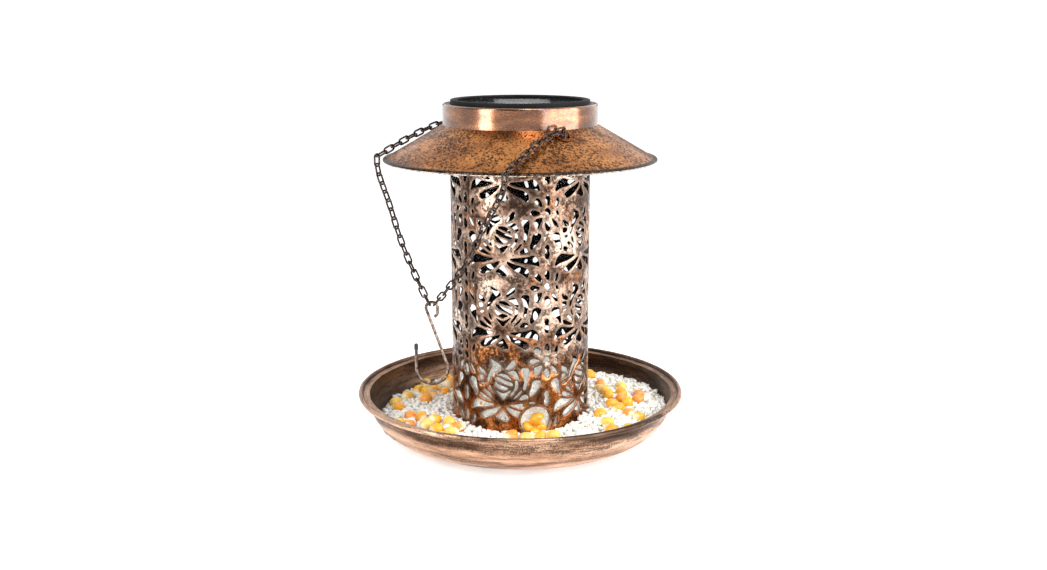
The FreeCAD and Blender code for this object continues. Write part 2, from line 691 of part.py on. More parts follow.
def power_switch():
    """Slide switch: a ribbed thumb piece under the floor and its tongue through the slot."""
    near = SWITCH_Y - 4.5
    far = SWITCH_Y + 4.5
    thumb = box(Vector(-5.5, near, DRUM_FOOT - 2.2), Vector(4.5, far, DRUM_FOOT - 0.35))
    grooves = [box(Vector(x, near, DRUM_FOOT - 2.3), Vector(x + 0.7, far, DRUM_FOOT - 1.7))
               for x in (-3.6, -1.6, 0.4, 2.4)]
    tongue = box(Vector(-3.9, SWITCH_Y - 2, DRUM_FOOT - 1.0), Vector(2.9, SWITCH_Y + 2, DRUM_FOOT + 3.0))
    return fused([thumb.cut(grooves), tongue])


# ---------------------------------------------------------------- chain
def link_at_origin():
    """Oval link in the XY plane, long along X."""
    bend = (LINK_INSIDE_WIDTH + CHAIN_WIRE) / 2
    reach = (LINK_INSIDE_LENGTH + CHAIN_WIRE) / 2 - bend
    edges = [
        Part.LineSegment(Vector(-reach, -bend, 0), Vector(reach, -bend, 0)).toShape(),
        Part.Arc(Vector(reach, -bend, 0), Vector(reach + bend, 0, 0), Vector(reach, bend, 0)).toShape(),
        Part.LineSegment(Vector(reach, bend, 0), Vector(-reach, bend, 0)).toShape(),
        Part.Arc(Vector(-reach, bend, 0), Vector(-reach - bend, 0, 0), Vector(-reach, -bend, 0)).toShape()]
    return swept_wire(edges, CHAIN_WIRE / 2)


LINK = link_at_origin()


def square_to(vector, axis):
    """Unit part of a vector that stands square to an axis."""
    part = vector - axis * vector.dot(axis)
    return part / part.Length


def placed_link(middle, along, side):
    """A link with its long axis along one direction and its plane holding another."""
    across = square_to(side, along)
    turn = FreeCAD.Rotation(along, across, along.cross(across), "XYZ")
    link = LINK.copy()
    link.Placement = FreeCAD.Placement(middle, turn)
    return link


def chain_run(points, first_side, last_side):
    """Links at an even pitch along a smooth path, each turned a quarter from the one before."""
    path = smooth_edge(points)
    count = math.ceil(path.Length / LINK_PITCH - 0.001)
    knots = path.discretize(count + 1)
    headings = [(knots[i + 1] - knots[i]).normalize() for i in range(count)]
    side = square_to(first_side, headings[0])
    carried = side
    for heading in headings:
        carried = square_to(carried, heading)
    wanted = square_to(last_side, headings[-1])
    gap = math.degrees(math.atan2(carried.cross(wanted).dot(headings[-1]), carried.dot(wanted)))
    spare = (gap - 90 * (count - 1) + 90) % 180 - 90
    links = []
    for index, heading in enumerate(headings):
        side = square_to(side, heading)
        roll = 90 * index + spare * index / max(count - 1, 1)
        turned = FreeCAD.Rotation(heading, roll).multVec(side)
        middle = (knots[index] + knots[index + 1]) * 0.5
        links.append(placed_link(middle, heading, turned))
    return links


def rim_line():
    """The line through both crossings, which the hanging chain swings about."""
    return crossing("right") - crossing("left")


def hole_pivot(azimuth):
    """Where the lifted chain turns: the wire just above a roof hole."""
    return chain_hole(azimuth) + Vector(0, 0, CHAIN_HEIGHT - 0.1)


def crossing(side):
    return polar(CROSSING_R, CROSSING_AZIMUTHS[side], cone_z(CROSSING_R) + CHAIN_HEIGHT)


def draped_run(end, side):
    """Chain that lies on the roof from its hole to where it crosses the rim."""
    azimuth = hole_azimuths()[end]
    start = hole_pivot(azimuth)
    finish = crossing(side)
    hole_line = polar(1, azimuth, 0)
    aside = square_to(hole_line, (finish - start).normalize()) * -DRAPE_BOW[end]
    points = []
    for step in range(7):
        share = step / 6
        spot = start + (finish - start) * share + aside * (share * (1 - share) ** 2)
        radius = math.hypot(spot.x, spot.y)
        points.append(Vector(spot.x, spot.y, cone_z(radius) + CHAIN_HEIGHT))
    first = (points[1] - points[0]).normalize()
    last = (points[-1] - points[-2]).normalize()
    points[0] = points[0] - first * (PIN_STEP - WIRE_STEP)
    points[-1] = points[-1] - last * WIRE_STEP
    return chain_run(points, hole_line.cross(first), rim_line())


def tail_run(end):
    """Chain that hangs from a roof hole to just over the staple of its anchor."""
    azimuth = hole_azimuths()[end]
    start = hole_pivot(azimuth) - UP * WIRE_STEP
    staple_top = (ANCHOR_FOOT + ANCHOR_TOP) / 2 + STAPLE_WIRE_R
    finish = polar(HOLE_CIRCLE_R, azimuth, staple_top + CHAIN_WIRE / 2 + WIRE_STEP + 0.3)
    points = [start, (start * 2 + finish) / 3, (start + finish * 2) / 3, finish]
    return chain_run(points, polar(1, azimuth, 0), polar(1, azimuth, 0))


def fall_run(side):
    """Chain that hangs from the rim to the hook's eye, sagging under its weight."""
    start = crossing(side)
    chord = EYE_MIDDLE - start
    level = Vector(chord.x, chord.y, 0).normalize()
    below = square_to(level * -1, chord / chord.Length)
    sag = FALL_SAG[side]
    arrive = (chord - below * 4 * sag).normalize()
    spoke = Vector(-arrive.x, 0, -arrive.z).normalize()
    eye_wire = EYE_MIDDLE + spoke * EYE_R
    inside_eye = eye_wire + arrive * (HOOK_WIRE_R + CHAIN_WIRE / 2 + 0.15)
    last = inside_eye - arrive * WIRE_STEP
    points = [start + UP * (PIN_STEP - WIRE_STEP), start - UP * FIRST_DROP]
    for step in range(1, 5):
        share = step / 4
        points.append(start + (last - start) * share + below * (4 * sag * share * (1 - share)))
    eye_tangent = spoke.cross(Vector(0, 1, 0))
    return chain_run(points, rim_line().cross(UP), eye_tangent.cross(arrive))


# ---------------------------------------------------------------- hook
def hook_point(x, z):
    return EYE_MIDDLE + Vector(x, 0, z)


def slanted(degrees):
    """Unit direction in the hook's plane, turned down from +X."""
    return Vector(math.cos(math.radians(degrees)), 0, -math.sin(math.radians(degrees)))


def hook_centreline():
    """Edges of the hook's wire from its tip round the bend, up the shank and round the eye."""
    lean = math.radians(SHANK_LEAN)
    down = Vector(math.sin(lean), 0, -math.cos(lean))
    left = Vector(-math.cos(lean), 0, -math.sin(lean))
    shank_top = EYE_MIDDLE + left * EYE_R
    shank_foot = shank_top + down * SHANK_LENGTH
    bend_middle = shank_foot + left * BEND_R
    bend_left = bend_middle + Vector(-BEND_R, 0, 0)
    eye_side = hook_point(EYE_R, 0)
    eye_corner = hook_point(EYE_R, -EYE_CORNER_R)
    corner_middle = hook_point(EYE_R - EYE_CORNER_R, -EYE_CORNER_R)
    corner_end = corner_middle + slanted(45) * EYE_CORNER_R
    corner_half = corner_middle + slanted(22) * EYE_CORNER_R
    return [
        Part.LineSegment(bend_left + Vector(0, 0, TIP_RISE), bend_left).toShape(),
        Part.Arc(bend_left, bend_middle + Vector(0, 0, -BEND_R), shank_foot).toShape(),
        Part.LineSegment(shank_foot, shank_top).toShape(),
        Part.Arc(shank_top, hook_point(0, EYE_R), eye_side).toShape(),
        Part.LineSegment(eye_side, eye_corner).toShape(),
        Part.Arc(eye_corner, corner_half, corner_end).toShape(),
        Part.LineSegment(corner_end, corner_end + slanted(135) * EYE_END_LENGTH).toShape()]


def hanging_hook():
    """The wire hook, turned a little so that it hangs level under its eye."""
    wire = swept_wire(hook_centreline(), HOOK_WIRE_R)
    tip = hook_centreline()[0].valueAt(0)
    cap_top = tip + UP
    cap = fused([rod(tip - UP * CAP_GRIP, cap_top, CAP_R), Part.makeSphere(CAP_R, cap_top)])
    cap = cap.cut(rod(tip - UP * CAP_GRIP, tip, HOOK_WIRE_R))
    middle = wire.CenterOfMass - EYE_MIDDLE
    settle = math.degrees(math.atan2(middle.x, -middle.z))
    for piece in (wire, cap):
        piece.rotate(EYE_MIDDLE, Vector(0, 1, 0), settle)
    print("hook settles by", round(settle, 3), "degrees")
    return wire, cap


# ---------------------------------------------------------------- the feeder
def main():
    os.makedirs("parts", exist_ok=True)
    save("seed_tray", [seed_tray()])
    bolts, washers, nuts = tray_fixings()
    save("tray_bolts", bolts)
    save("tray_washers", washers)
    save("tray_nuts", nuts)
    save("lattice_tube", [lattice_tube()])
    save("seed_liner", [seed_liner()])
    save("tube_base_plate", [tube_base_plate()])
    save("base_rivets", base_rivets())
    for end, azimuth in PORT_AZIMUTHS.items():
        save("port_grommet_" + end, [port_grommet(azimuth)])
    for end, azimuth in hole_azimuths().items():
        save("chain_anchor_" + end, [chain_anchor(azimuth - 4)])
        save("roof_eyelet_" + end, [roof_eyelet(azimuth)])
        save("chain_tail_" + end, tail_run(end))
    save("tray_seed_bed", [tray_seed_bed()])
    save("tube_seed_fill", [tube_seed_fill()])
    save("roof_cone", [roof_cone()])
    save("roof_collar", [roof_collar()])
    save("roof_seat_ring", [roof_seat_ring()])
    save("draped_chain_front", draped_run("front", "right"))
    save("draped_chain_rear", draped_run("rear", "left"))
    save("hanging_chain_left", fall_run("left"))
    save("hanging_chain_right", fall_run("right"))
    hook, cap = hanging_hook()
    save("hanging_hook", [hook])
    save("hook_tip_cap", [cap])
    save("module_shoulder", [module_shoulder()])
    save("module_drum", [module_drum()])
    save("solar_bezel", [solar_bezel()])
    save("panel_gasket", [panel_gasket()])
    save("panel_board", [panel_board()])
    save("solar_cells", solar_cells())
    save("panel_window", [panel_window()])
    save("circuit_board", [circuit_board()])
    save("led_lamp", [led_lamp()])
    save("led_diffuser", [led_diffuser()])
    save("battery_cell", [battery_cell()])
    save("battery_clips", battery_clips())
    save("battery_cover", [battery_cover()])
    save("cover_screws", cover_screws())
    save("power_switch", [power_switch()])


main()
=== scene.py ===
import bmesh
import bpy
import json
import math
import random
import numpy as np
from mathutils import Matrix, Vector, kdtree
from mathutils.geometry import delaunay_2d_cdt


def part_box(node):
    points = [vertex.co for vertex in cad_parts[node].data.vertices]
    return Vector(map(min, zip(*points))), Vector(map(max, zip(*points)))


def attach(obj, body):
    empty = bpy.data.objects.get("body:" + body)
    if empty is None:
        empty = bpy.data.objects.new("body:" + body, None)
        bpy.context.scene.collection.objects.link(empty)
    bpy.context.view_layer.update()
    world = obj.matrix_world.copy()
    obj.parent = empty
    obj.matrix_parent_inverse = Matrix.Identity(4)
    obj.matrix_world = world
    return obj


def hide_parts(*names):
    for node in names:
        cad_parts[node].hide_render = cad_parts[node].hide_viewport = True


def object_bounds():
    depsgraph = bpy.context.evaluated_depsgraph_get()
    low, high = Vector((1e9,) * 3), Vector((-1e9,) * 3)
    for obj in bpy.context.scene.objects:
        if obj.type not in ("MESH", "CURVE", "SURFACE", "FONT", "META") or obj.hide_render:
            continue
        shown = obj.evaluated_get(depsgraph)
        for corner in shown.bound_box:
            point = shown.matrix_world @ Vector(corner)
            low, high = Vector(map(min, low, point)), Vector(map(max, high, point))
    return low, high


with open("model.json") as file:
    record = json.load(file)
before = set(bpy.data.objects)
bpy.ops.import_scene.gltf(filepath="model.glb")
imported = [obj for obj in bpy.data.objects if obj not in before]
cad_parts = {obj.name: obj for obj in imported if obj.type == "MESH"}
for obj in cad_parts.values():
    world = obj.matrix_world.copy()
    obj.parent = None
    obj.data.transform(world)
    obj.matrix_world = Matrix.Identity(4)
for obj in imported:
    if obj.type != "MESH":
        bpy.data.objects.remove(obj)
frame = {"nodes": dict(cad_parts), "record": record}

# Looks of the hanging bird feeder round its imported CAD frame: a pierced copper tube in a seed
# tray, a speckled copper roof with a solar light, a fine chain, a wire hook, seed and maize.
# Metres, +Z up; an azimuth is counted from the front (-Y) towards +X.

MM = 0.001
cad_low, cad_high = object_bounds()

TUBE_LOW, TUBE_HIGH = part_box("lattice_tube")
TRAY_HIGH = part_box("seed_tray")[1]
TUBE_R = TUBE_HIGH.x


def polar(radius, azimuth, z):
    """Place at a distance from the feeder's axis, an azimuth in degrees and a height."""
    angle = math.radians(azimuth)
    return Vector((radius * math.sin(angle), -radius * math.cos(angle), z))


# ---------------------------------------------------------------- camera, lights and floor
FOCAL_LENGTH = 41.3                       # millimetres, on a sensor 36 mm wide
CAMERA_PLACE = (2.3, -825.4, 257)         # millimetres; the height counts from the tray's lip
CAMERA_DIP = 12.55                        # degrees below level

# Lamps: name, azimuth, elevation, distance, size across and up in metres, watts.
LAMPS = [
    ("key", 62, 20, 1.0, (1.2, 1.1), 19),
    ("side", -50, 20, 1.0, (0.34, 1.1), 9),
    ("top", 25, 60, 1.3, (0.6, 0.5), 7)]
LAMP_AIM = Vector((0, 0, 0.12))

WORLD_FRONT = 0.06                        # strength on the camera's side
WORLD_BACK = 1.12                         # strength behind the feeder
WORLD_TURN = 0.75                         # share of straight ahead at which each is reached

# Outline of one reflection card: metres from the middle and above the feeder's top.
FLAG_OUTLINE = [
    (0.0, 0.02), (0.5, 0.02), (0.5, 0.14), (0.042, 0.14), (0.042, 0.066), (0.028, 0.059),
    (0.0, 0.056)]
FLAG_DISTANCE = 1.0                       # metres behind the feeder's axis


def new_object(name, data):
    """A new object in the scene."""
    placed = bpy.data.objects.new(name, data)
    bpy.context.scene.collection.objects.link(placed)
    return placed


def make_camera():
    camera = bpy.data.cameras.new("camera")
    camera.lens = FOCAL_LENGTH
    camera.sensor_width = 36.0
    placed = new_object("camera", camera)
    across, back, above = CAMERA_PLACE
    placed.location = (across * MM, back * MM, TRAY_HIGH.z + above * MM)
    placed.rotation_euler = (math.radians(90 - CAMERA_DIP), 0, 0)
    bpy.context.scene.camera = placed


def make_lights():
    for lamp in LAMPS:
        area_light(*lamp)
    make_world()


def area_light(name, azimuth, elevation, distance, size, power):
    """Soft rectangular lamp that faces the middle of the feeder."""
    light = bpy.data.lights.new(name, "AREA")
    light.shape = "RECTANGLE"
    light.size, light.size_y = size
    light.energy = power
    placed = new_object(name, light)
    placed.visible_camera = False
    rise = math.radians(elevation)
    flat, up = distance * math.cos(rise), distance * math.sin(rise)
    placed.location = LAMP_AIM + polar(flat, azimuth, up)
    placed.rotation_euler = (LAMP_AIM - placed.location).to_track_quat("-Z", "Y").to_euler()


def make_world():
    """White studio, brightest behind the feeder and dimmer on the camera's side."""
    world = bpy.data.worlds.new("studio")
    world.use_nodes = True
    tree = world.node_tree
    place = tree.nodes.new("ShaderNodeTexCoord")
    spot = tree.nodes.new("ShaderNodeSeparateXYZ")
    share = tree.nodes.new("ShaderNodeMapRange")
    share.interpolation_type = "SMOOTHSTEP"
    settings = {"From Min": -WORLD_TURN, "From Max": WORLD_TURN,
                "To Min": WORLD_FRONT, "To Max": WORLD_BACK}
    for socket, value in settings.items():
        share.inputs[socket].default_value = value
    backdrop = tree.nodes["Background"]
    backdrop.inputs["Color"].default_value = (1, 1, 1, 1)
    tree.links.new(place.outputs["Generated"], spot.inputs[0])
    tree.links.new(spot.outputs[1], share.inputs["Value"])
    tree.links.new(share.outputs[0], backdrop.inputs["Strength"])
    bpy.context.scene.world = world


def make_flags():
    """Two black cards far behind, met only by reflections, so that the glass top stays dark."""
    look = Look("black_card", {"Roughness": 1.0, "Base Color": (0.01, 0.01, 0.01, 1)})
    for name, side in (("flag_left", -1), ("flag_right", 1)):
        data = bpy.data.meshes.new(name)
        points = [(side * x, FLAG_DISTANCE, cad_high.z + rise) for x, rise in FLAG_OUTLINE]
        data.from_pydata(points, [], [tuple(range(len(points)))])
        flag = new_object(name, data)
        flag.visible_camera = flag.visible_diffuse = flag.visible_shadow = False
        flag.visible_transmission = False
        dress(flag, look)


def make_floor():
    bpy.ops.mesh.primitive_plane_add(size=60)
    floor = bpy.context.object
    floor.name = "floor"
    look = Look("floor_paper", {
        "Roughness": 0.95, "Emission Color": (1, 1, 1, 1), "Emission Strength": 0.5})
    grain = look.noise(look.object_space(), 900, 3)
    look.colour(look.ramp(grain, [(0.3, (0.90, 0.90, 0.90)), (0.7, (0.93, 0.93, 0.93))]))
    dress(floor, look)


# ---------------------------------------------------------------- materials
class Look:
    """A node material under construction."""

    def __init__(self, name, constants):
        self.material = bpy.data.materials.new(name)
        self.material.use_nodes = True
        self.tree = self.material.node_tree
        self.shader = self.tree.nodes["Principled BSDF"]
        for socket, value in constants.items():
            self.shader.inputs[socket].default_value = value

    def node(self, kind, inputs, **settings):
        made = self.tree.nodes.new("ShaderNode" + kind)
        for key, value in settings.items():
            setattr(made, key, value)
        for socket, value in inputs.items():
            if isinstance(value, bpy.types.NodeSocket):
                self.tree.links.new(value, made.inputs[socket])
            else:
                made.inputs[socket].default_value = value
        return made

    def math(self, operation, first, second=0.0):
        return self.node("Math", {0: first, 1: second}, operation=operation).outputs[0]

    def scaled(self, value, factor):
        return self.math("MULTIPLY", value, factor)

    def weighed(self, *parts):
        """Sum of values, each times its weight."""
        total = None
        for value, weight in parts:
            share = self.scaled(value, weight)
            total = share if total is None else self.math("ADD", total, share)
        return total

    def centred(self, value, factor):
        """A noise value about zero, times a factor."""
        return self.scaled(self.math("SUBTRACT", value, 0.5), factor)

    def vector_math(self, operation, first, second=(0, 0, 0)):
        return self.node("VectorMath", {0: first, 1: second}, operation=operation).outputs

    def object_space(self):
        return self.node("TexCoord", {}).outputs["Object"]

    def axes(self):
        """The X, Y and Z of a place on the object."""
        return self.node("SeparateXYZ", {0: self.object_space()}).outputs

    def flat_place(self, spot):
        return self.node("CombineXYZ", {0: spot[0], 1: spot[1], 2: 0.0}).outputs[0]

    def radius(self, spot):
        """Distance from the feeder's axis."""
        return self.vector_math("LENGTH", self.flat_place(spot))["Value"]

    def spun_space(self, around, across):
        """Place on a spun sheet: slow along its circles, fast across them."""
        spot = self.axes()
        radius = self.math("MAXIMUM", self.radius(spot), 1e-4)
        return self.node("CombineXYZ", {
            0: self.scaled(self.math("DIVIDE", spot[0], radius), around),
            1: self.scaled(self.math("DIVIDE", spot[1], radius), around),
            2: self.scaled(self.math("ADD", radius, spot[2]), across)}).outputs[0]

    def noise(self, space, scale, detail=4.0, roughness=0.55):
        made = self.node("TexNoise", {
            "Vector": space, "Scale": scale, "Detail": detail, "Roughness": roughness})
        return made.outputs["Fac"]

    def ramp(self, value, stops):
        """Colour or grey ramp; a stop is (place, colour or grey)."""
        made = self.node("ValToRGB", {0: value})
        elements = made.color_ramp.elements
        while len(elements) < len(stops):
            elements.new(0.5)
        for element, (place, shade) in zip(elements, stops):
            element.position = place
            element.color = (*shade, 1) if isinstance(shade, tuple) else (shade, shade, shade, 1)
        return made.outputs["Color"]

    def mix(self, share, first, second):
        """Colour that goes from the first to the second; a colour is a socket or three numbers."""
        first, second = [(*c, 1) if isinstance(c, tuple) else c for c in (first, second)]
        return self.node("Mix", {0: share, 6: first, 7: second}, data_type="RGBA").outputs[2]

    def colour(self, socket):
        self.tree.links.new(socket, self.shader.inputs["Base Color"])

    def roughness(self, socket):
        self.tree.links.new(socket, self.shader.inputs["Roughness"])

    def metallic(self, socket):
        self.tree.links.new(socket, self.shader.inputs["Metallic"])

    def bump(self, height, distance, strength=1.0, under=None):
        inputs = {"Height": height, "Distance": distance, "Strength": strength}
        if under:
            inputs["Normal"] = under
        made = self.node("Bump", inputs)
        self.tree.links.new(made.outputs["Normal"], self.shader.inputs["Normal"])
        return made.outputs["Normal"]

    def attribute(self, name):
        return self.node("Attribute", {}, attribute_name=name).outputs["Fac"]


def dress(piece, look):
    """Gives every material slot of a piece the same look."""
    if not piece.data.materials:
        piece.data.materials.append(look.material)
    for index in range(len(piece.data.materials)):
        piece.data.materials[index] = look.material


# Dark patina for the speckle, also used as painted shade.
DARK_PATINA_AND_SHADE = (0.012, 0.007, 0.005)
BROWN_SPECK = (0.035, 0.014, 0.007)
EDGE_HIGHLIGHT_COPPER = (0.88, 0.66, 0.52)
TUBE_INSIDE_SHADE = (0.004, 0.003, 0.002)
RIM_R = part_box("roof_cone")[1].x
RIM_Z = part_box("roof_cone")[0].z
RIM_WIDTH = 2.7 * MM
RIM_UNDERSIDE = 0.9 * MM

# The roof's two finishes. The collar is smoother and lacquered, so it shows the lamps as bands.
CONE = {
    "tones": [(0.36, (0.26, 0.095, 0.030)), (0.48, (0.48, 0.185, 0.056)),
              (0.62, (0.72, 0.300, 0.092)), (0.76, (0.88, 0.58, 0.38))],
    "speckle": 0.90, "roughness": (0.22, 0.44), "lacquer": {}}
COLLAR = {
    # Tones darker than the cone's: painted shade for the dark surroundings the collar reflects.
    "tones": [(0.36, (0.12, 0.036, 0.009)), (0.50, (0.23, 0.076, 0.021)),
              (0.62, (0.42, 0.165, 0.058)), (0.76, (0.72, 0.40, 0.24))],
    "speckle": 0.60, "roughness": (0.16, 0.30),
    "lacquer": {"Coat Weight": 1.0, "Coat Roughness": 0.15, "Coat IOR": 1.65}}


def roof_look(name, finish):
    """Orange-brown copper under fine dark speckle, with a dark rim and a painted highlight beneath
    it.
    """
    look = Look(name, {"Metallic": 1.0, "Roughness": 0.36, **finish["lacquer"]})
    place = look.object_space()
    dashes = look.noise(look.spun_space(42.0, 1500), 1.0, 2, 0.6)
    clouds = look.noise(place, 24, 4, 0.55)
    streaks = look.noise(look.spun_space(2.6, 190), 1.0, 4, 0.6)
    base = look.ramp(look.weighed((clouds, 0.5), (streaks, 0.5)), finish["tones"])
    fine = look.noise(place, 900, 2, 0.6)
    patch = look.noise(look.spun_space(3.4, 120), 1.0, 4, 0.65)
    dots = look.weighed((fine, 0.40), (dashes, 0.60))
    dirt = look.math("ADD", dots, look.centred(patch, 0.40))
    speckle = look.ramp(dirt, [(0.46, 0.0), (0.55, 1.0)])
    skin = look.mix(look.scaled(speckle, finish["speckle"]), base, BROWN_SPECK)
    spot = look.axes()
    on_rim = look.math("GREATER_THAN", look.radius(spot), RIM_R - RIM_WIDTH)
    beneath = look.math("LESS_THAN", spot[2], RIM_Z + RIM_UNDERSIDE)
    dark_rim = look.ramp(fine, [(0.45, DARK_PATINA_AND_SHADE), (0.60, (0.10, 0.06, 0.04))])
    # Painted highlight: a pale line along the underside of the rim.
    rim_painted_highlight = look.ramp(dashes, [(0.42, (0.10, 0.07, 0.05)), (0.50, (0.66, 0.58, 0.50))])
    look.colour(look.mix(on_rim, skin, look.mix(beneath, dark_rim, rim_painted_highlight)))
    smooth, rough = finish["roughness"]
    look.roughness(look.ramp(dirt, [(0.40, smooth), (0.56, rough)]))
    look.bump(dots, 0.00007)
    return look


LIP_BAND = 16 * MM                        # height under the tray's lip where the speckle thickens
WORN_AZIMUTH = 36                         # where the lip's dark streak is


def tray_look():
    """Brushed copper with dark streaks along its circles, and painted shade on the bowl's inside.
    """
    look = Look("brushed_copper", {"Metallic": 1.0, "Roughness": 0.34})
    place = look.object_space()
    broad = look.noise(look.spun_space(1.9, 95), 1.0, 5, 0.62)
    thin = look.noise(look.spun_space(11.0, 900), 1.0, 3, 0.7)
    blend = look.weighed((broad, 0.62), (thin, 0.38))
    base = look.ramp(blend, [(0.37, (0.10, 0.050, 0.030)), (0.44, (0.27, 0.145, 0.088)),
                             (0.51, (0.54, 0.320, 0.205)), (0.62, (0.78, 0.53, 0.37))])
    fine = look.noise(place, 1100, 3, 0.7)
    worn = look.noise(look.spun_space(1.3, 60), 1.0, 3, 0.6)
    dirt = look.math("ADD", look.weighed((fine, 0.4), (thin, 0.6)), look.centred(worn, 0.6))
    dirt = look.math("ADD", dirt, lip_darkening(look))
    speckle = look.ramp(dirt, [(0.52, 0.0), (0.62, 1.0)])
    skin = look.mix(look.scaled(speckle, 0.85), base, DARK_PATINA_AND_SHADE)
    # Painted shade: where the skin faces the feeder's middle, on the bowl's inside, it is mixed
    # towards dark.
    look.colour(look.mix(look.scaled(facing_axis(look), 0.74), skin, DARK_PATINA_AND_SHADE))
    look.roughness(look.ramp(blend, [(0.3, 0.5), (0.7, 0.28)]))
    grain = look.bump(thin, 0.00008, 0.9)
    look.bump(fine, 0.00004, 0.7, grain)
    return look


def lip_darkening(look):
    """More dark speckle in a band under the lip, most of it in one worn streak."""
    height = look.axes()[2]
    above_foot = look.math("SUBTRACT", height, TRAY_HIGH.z - LIP_BAND)
    near_lip = look.math("GREATER_THAN", above_foot, 0.0)
    band = look.scaled(look.math("PINGPONG", above_foot, 9 * MM), 9.0)
    toward = tuple(polar(1 / TRAY_HIGH.x, WORN_AZIMUTH, 0))
    share = look.vector_math("DOT_PRODUCT", look.object_space(), toward)["Value"]
    streak = look.ramp(share, [(0.90, 0.0), (0.95, 0.14)])
    return look.math("MULTIPLY", look.math("ADD", band, streak), near_lip)


def facing_axis(look):
    """One where the skin faces the feeder's middle, none where it faces away."""
    outward = look.vector_math("NORMALIZE", look.flat_place(look.axes()))[0]
    normal = look.node("TexCoord", {}).outputs["Normal"]
    away = look.vector_math("DOT_PRODUCT", outward, normal)["Value"]
    return look.ramp(look.scaled(away, -1.0), [(0.10, 0.0), (0.45, 1.0)])


def lattice_look():
    """Rose-beige worn copper with a painted highlight on the rounded edges, painted shade inside
    and orange at its foot.
    """
    look = Look("worn_lattice_copper", {"Metallic": 1.0, "Roughness": 0.3})
    place = look.object_space()
    clouds = look.noise(place, 52, 5, 0.62)
    fine = look.noise(place, 560, 3, 0.66)
    foot = look.scaled(look.math("SUBTRACT", 0.072, look.axes()[2]), 3.6)
    warm = look.math("ADD", clouds, look.math("MINIMUM", look.math("MAXIMUM", foot, -0.05), 0.16))
    base = look.ramp(warm, [(0.34, (0.56, 0.41, 0.32)), (0.44, (0.30, 0.185, 0.13)),
                            (0.53, (0.105, 0.048, 0.027)), (0.66, (0.64, 0.225, 0.062)),
                            (0.80, (0.24, 0.075, 0.022))])
    patch = look.noise(place, 78, 5, 0.66)
    dirt = look.weighed((fine, 0.42), (patch, 0.58))
    speckle = look.ramp(dirt, [(0.455, 0.0), (0.53, 1.0)])
    edge = look.attribute("edge")
    # Near the openings the dark speckle thins and a painted highlight of pale copper is mixed in.
    keep = look.math("MULTIPLY", speckle, look.math("SUBTRACT", 0.88, look.scaled(edge, 0.40)))
    grimy = look.mix(keep, base, DARK_PATINA_AND_SHADE)
    edge_highlighted = look.mix(look.scaled(edge, 0.24), grimy, EDGE_HIGHLIGHT_COPPER)
    # The inner wall, seen through the openings, is painted near-black as shade.
    look.colour(look.mix(look.attribute("inside"), edge_highlighted, TUBE_INSIDE_SHADE))
    look.roughness(look.ramp(dirt, [(0.40, 0.18), (0.58, 0.45)]))
    swell = look.bump(clouds, 0.0010, 0.6)
    look.bump(fine, 0.00008, 0.8, swell)
    return look


def bronze_look(name, lift):
    """Dark gunmetal bronze with light streaks as painted highlights, more of them with a higher
    lift.
    """
    look = Look(name, {"Metallic": 1.0, "Roughness": 0.3})
    place = look.object_space()
    clouds = look.noise(place, 420, 4, 0.65)
    fine = look.noise(place, 2600, 3, 0.7)
    blend = look.math("ADD", look.weighed((clouds, 0.6), (fine, 0.4)), lift)
    # The two lightest tones are painted highlights, laid out at random.
    look.colour(look.ramp(blend, [(0.42, (0.030, 0.021, 0.018)), (0.54, (0.105, 0.074, 0.062)),
                                  (0.64, (0.33, 0.24, 0.19)), (0.74, (0.72, 0.58, 0.49))]))
    look.roughness(look.ramp(clouds, [(0.3, 0.22), (0.7, 0.42)]))
    look.bump(fine, 0.00005, 0.8)
    return look


def plastic_look(name, shade, roughness, specular=0.5):
    """Moulded plastic or rubber with a fine grain."""
    look = Look(name, {"Roughness": roughness, "Specular IOR Level": specular})
    place = look.object_space()
    grain = look.noise(place, 2400, 3, 0.6)
    dust = look.noise(place, 120, 4, 0.6)
    light = tuple(min(1, c * 1.6 + 0.004) for c in shade)
    look.colour(look.ramp(dust, [(0.35, shade), (0.75, light)]))
    look.roughness(look.ramp(dust, [(0.3, roughness), (0.8, min(1, roughness + 0.14))]))
    look.bump(grain, 0.00005, 0.6)
    return look


def clear_look(name, alpha):
    """Clear plastic with faint smears."""
    look = Look(name, {"Base Color": (0.02, 0.022, 0.025, 1), "Alpha": alpha, "IOR": 1.46,
                       "Specular IOR Level": 0.3})
    smears = look.noise(look.object_space(), 70, 4, 0.6)
    look.roughness(look.ramp(smears, [(0.4, 0.03), (0.7, 0.14)]))
    return look


def steel_look():
    """Zinc-plated steel with faint spangle."""
    look = Look("zinc_steel", {"Metallic": 1.0, "Roughness": 0.35})
    spangle = look.noise(look.object_space(), 700, 4, 0.6)
    look.colour(look.ramp(spangle, [(0.35, (0.42, 0.43, 0.44)), (0.65, (0.70, 0.71, 0.72))]))
    look.roughness(look.ramp(spangle, [(0.3, 0.25), (0.7, 0.45)]))
    look.bump(spangle, 0.00004, 0.5)
    return look


FINGER_PITCH = 2.0 * MM                   # the thin silver lines on a solar cell
BAR_PITCH = 7.0 * MM                      # and the broad ones across them


def cell_look():
    """Dark solar cells with thin silver fingers and bus bars."""
    look = Look("solar_cell", {"Roughness": 0.2, "Specular IOR Level": 0.15})
    spot = look.axes()
    finger = look.math("LESS_THAN", look.math("PINGPONG", spot[1], FINGER_PITCH / 2), 0.09 * MM)
    along = look.math("ADD", spot[0], 0.5)
    bar = look.math("LESS_THAN", look.math("PINGPONG", along, BAR_PITCH / 2), 0.3 * MM)
    lines = look.math("MAXIMUM", finger, bar)
    crystal = look.noise(look.object_space(), 260, 4, 0.6)
    dark = look.ramp(crystal, [(0.35, (0.006, 0.009, 0.022)), (0.65, (0.02, 0.026, 0.055))])
    look.colour(look.mix(lines, dark, (0.16, 0.16, 0.17)))
    look.metallic(look.scaled(lines, 0.5))
    return look


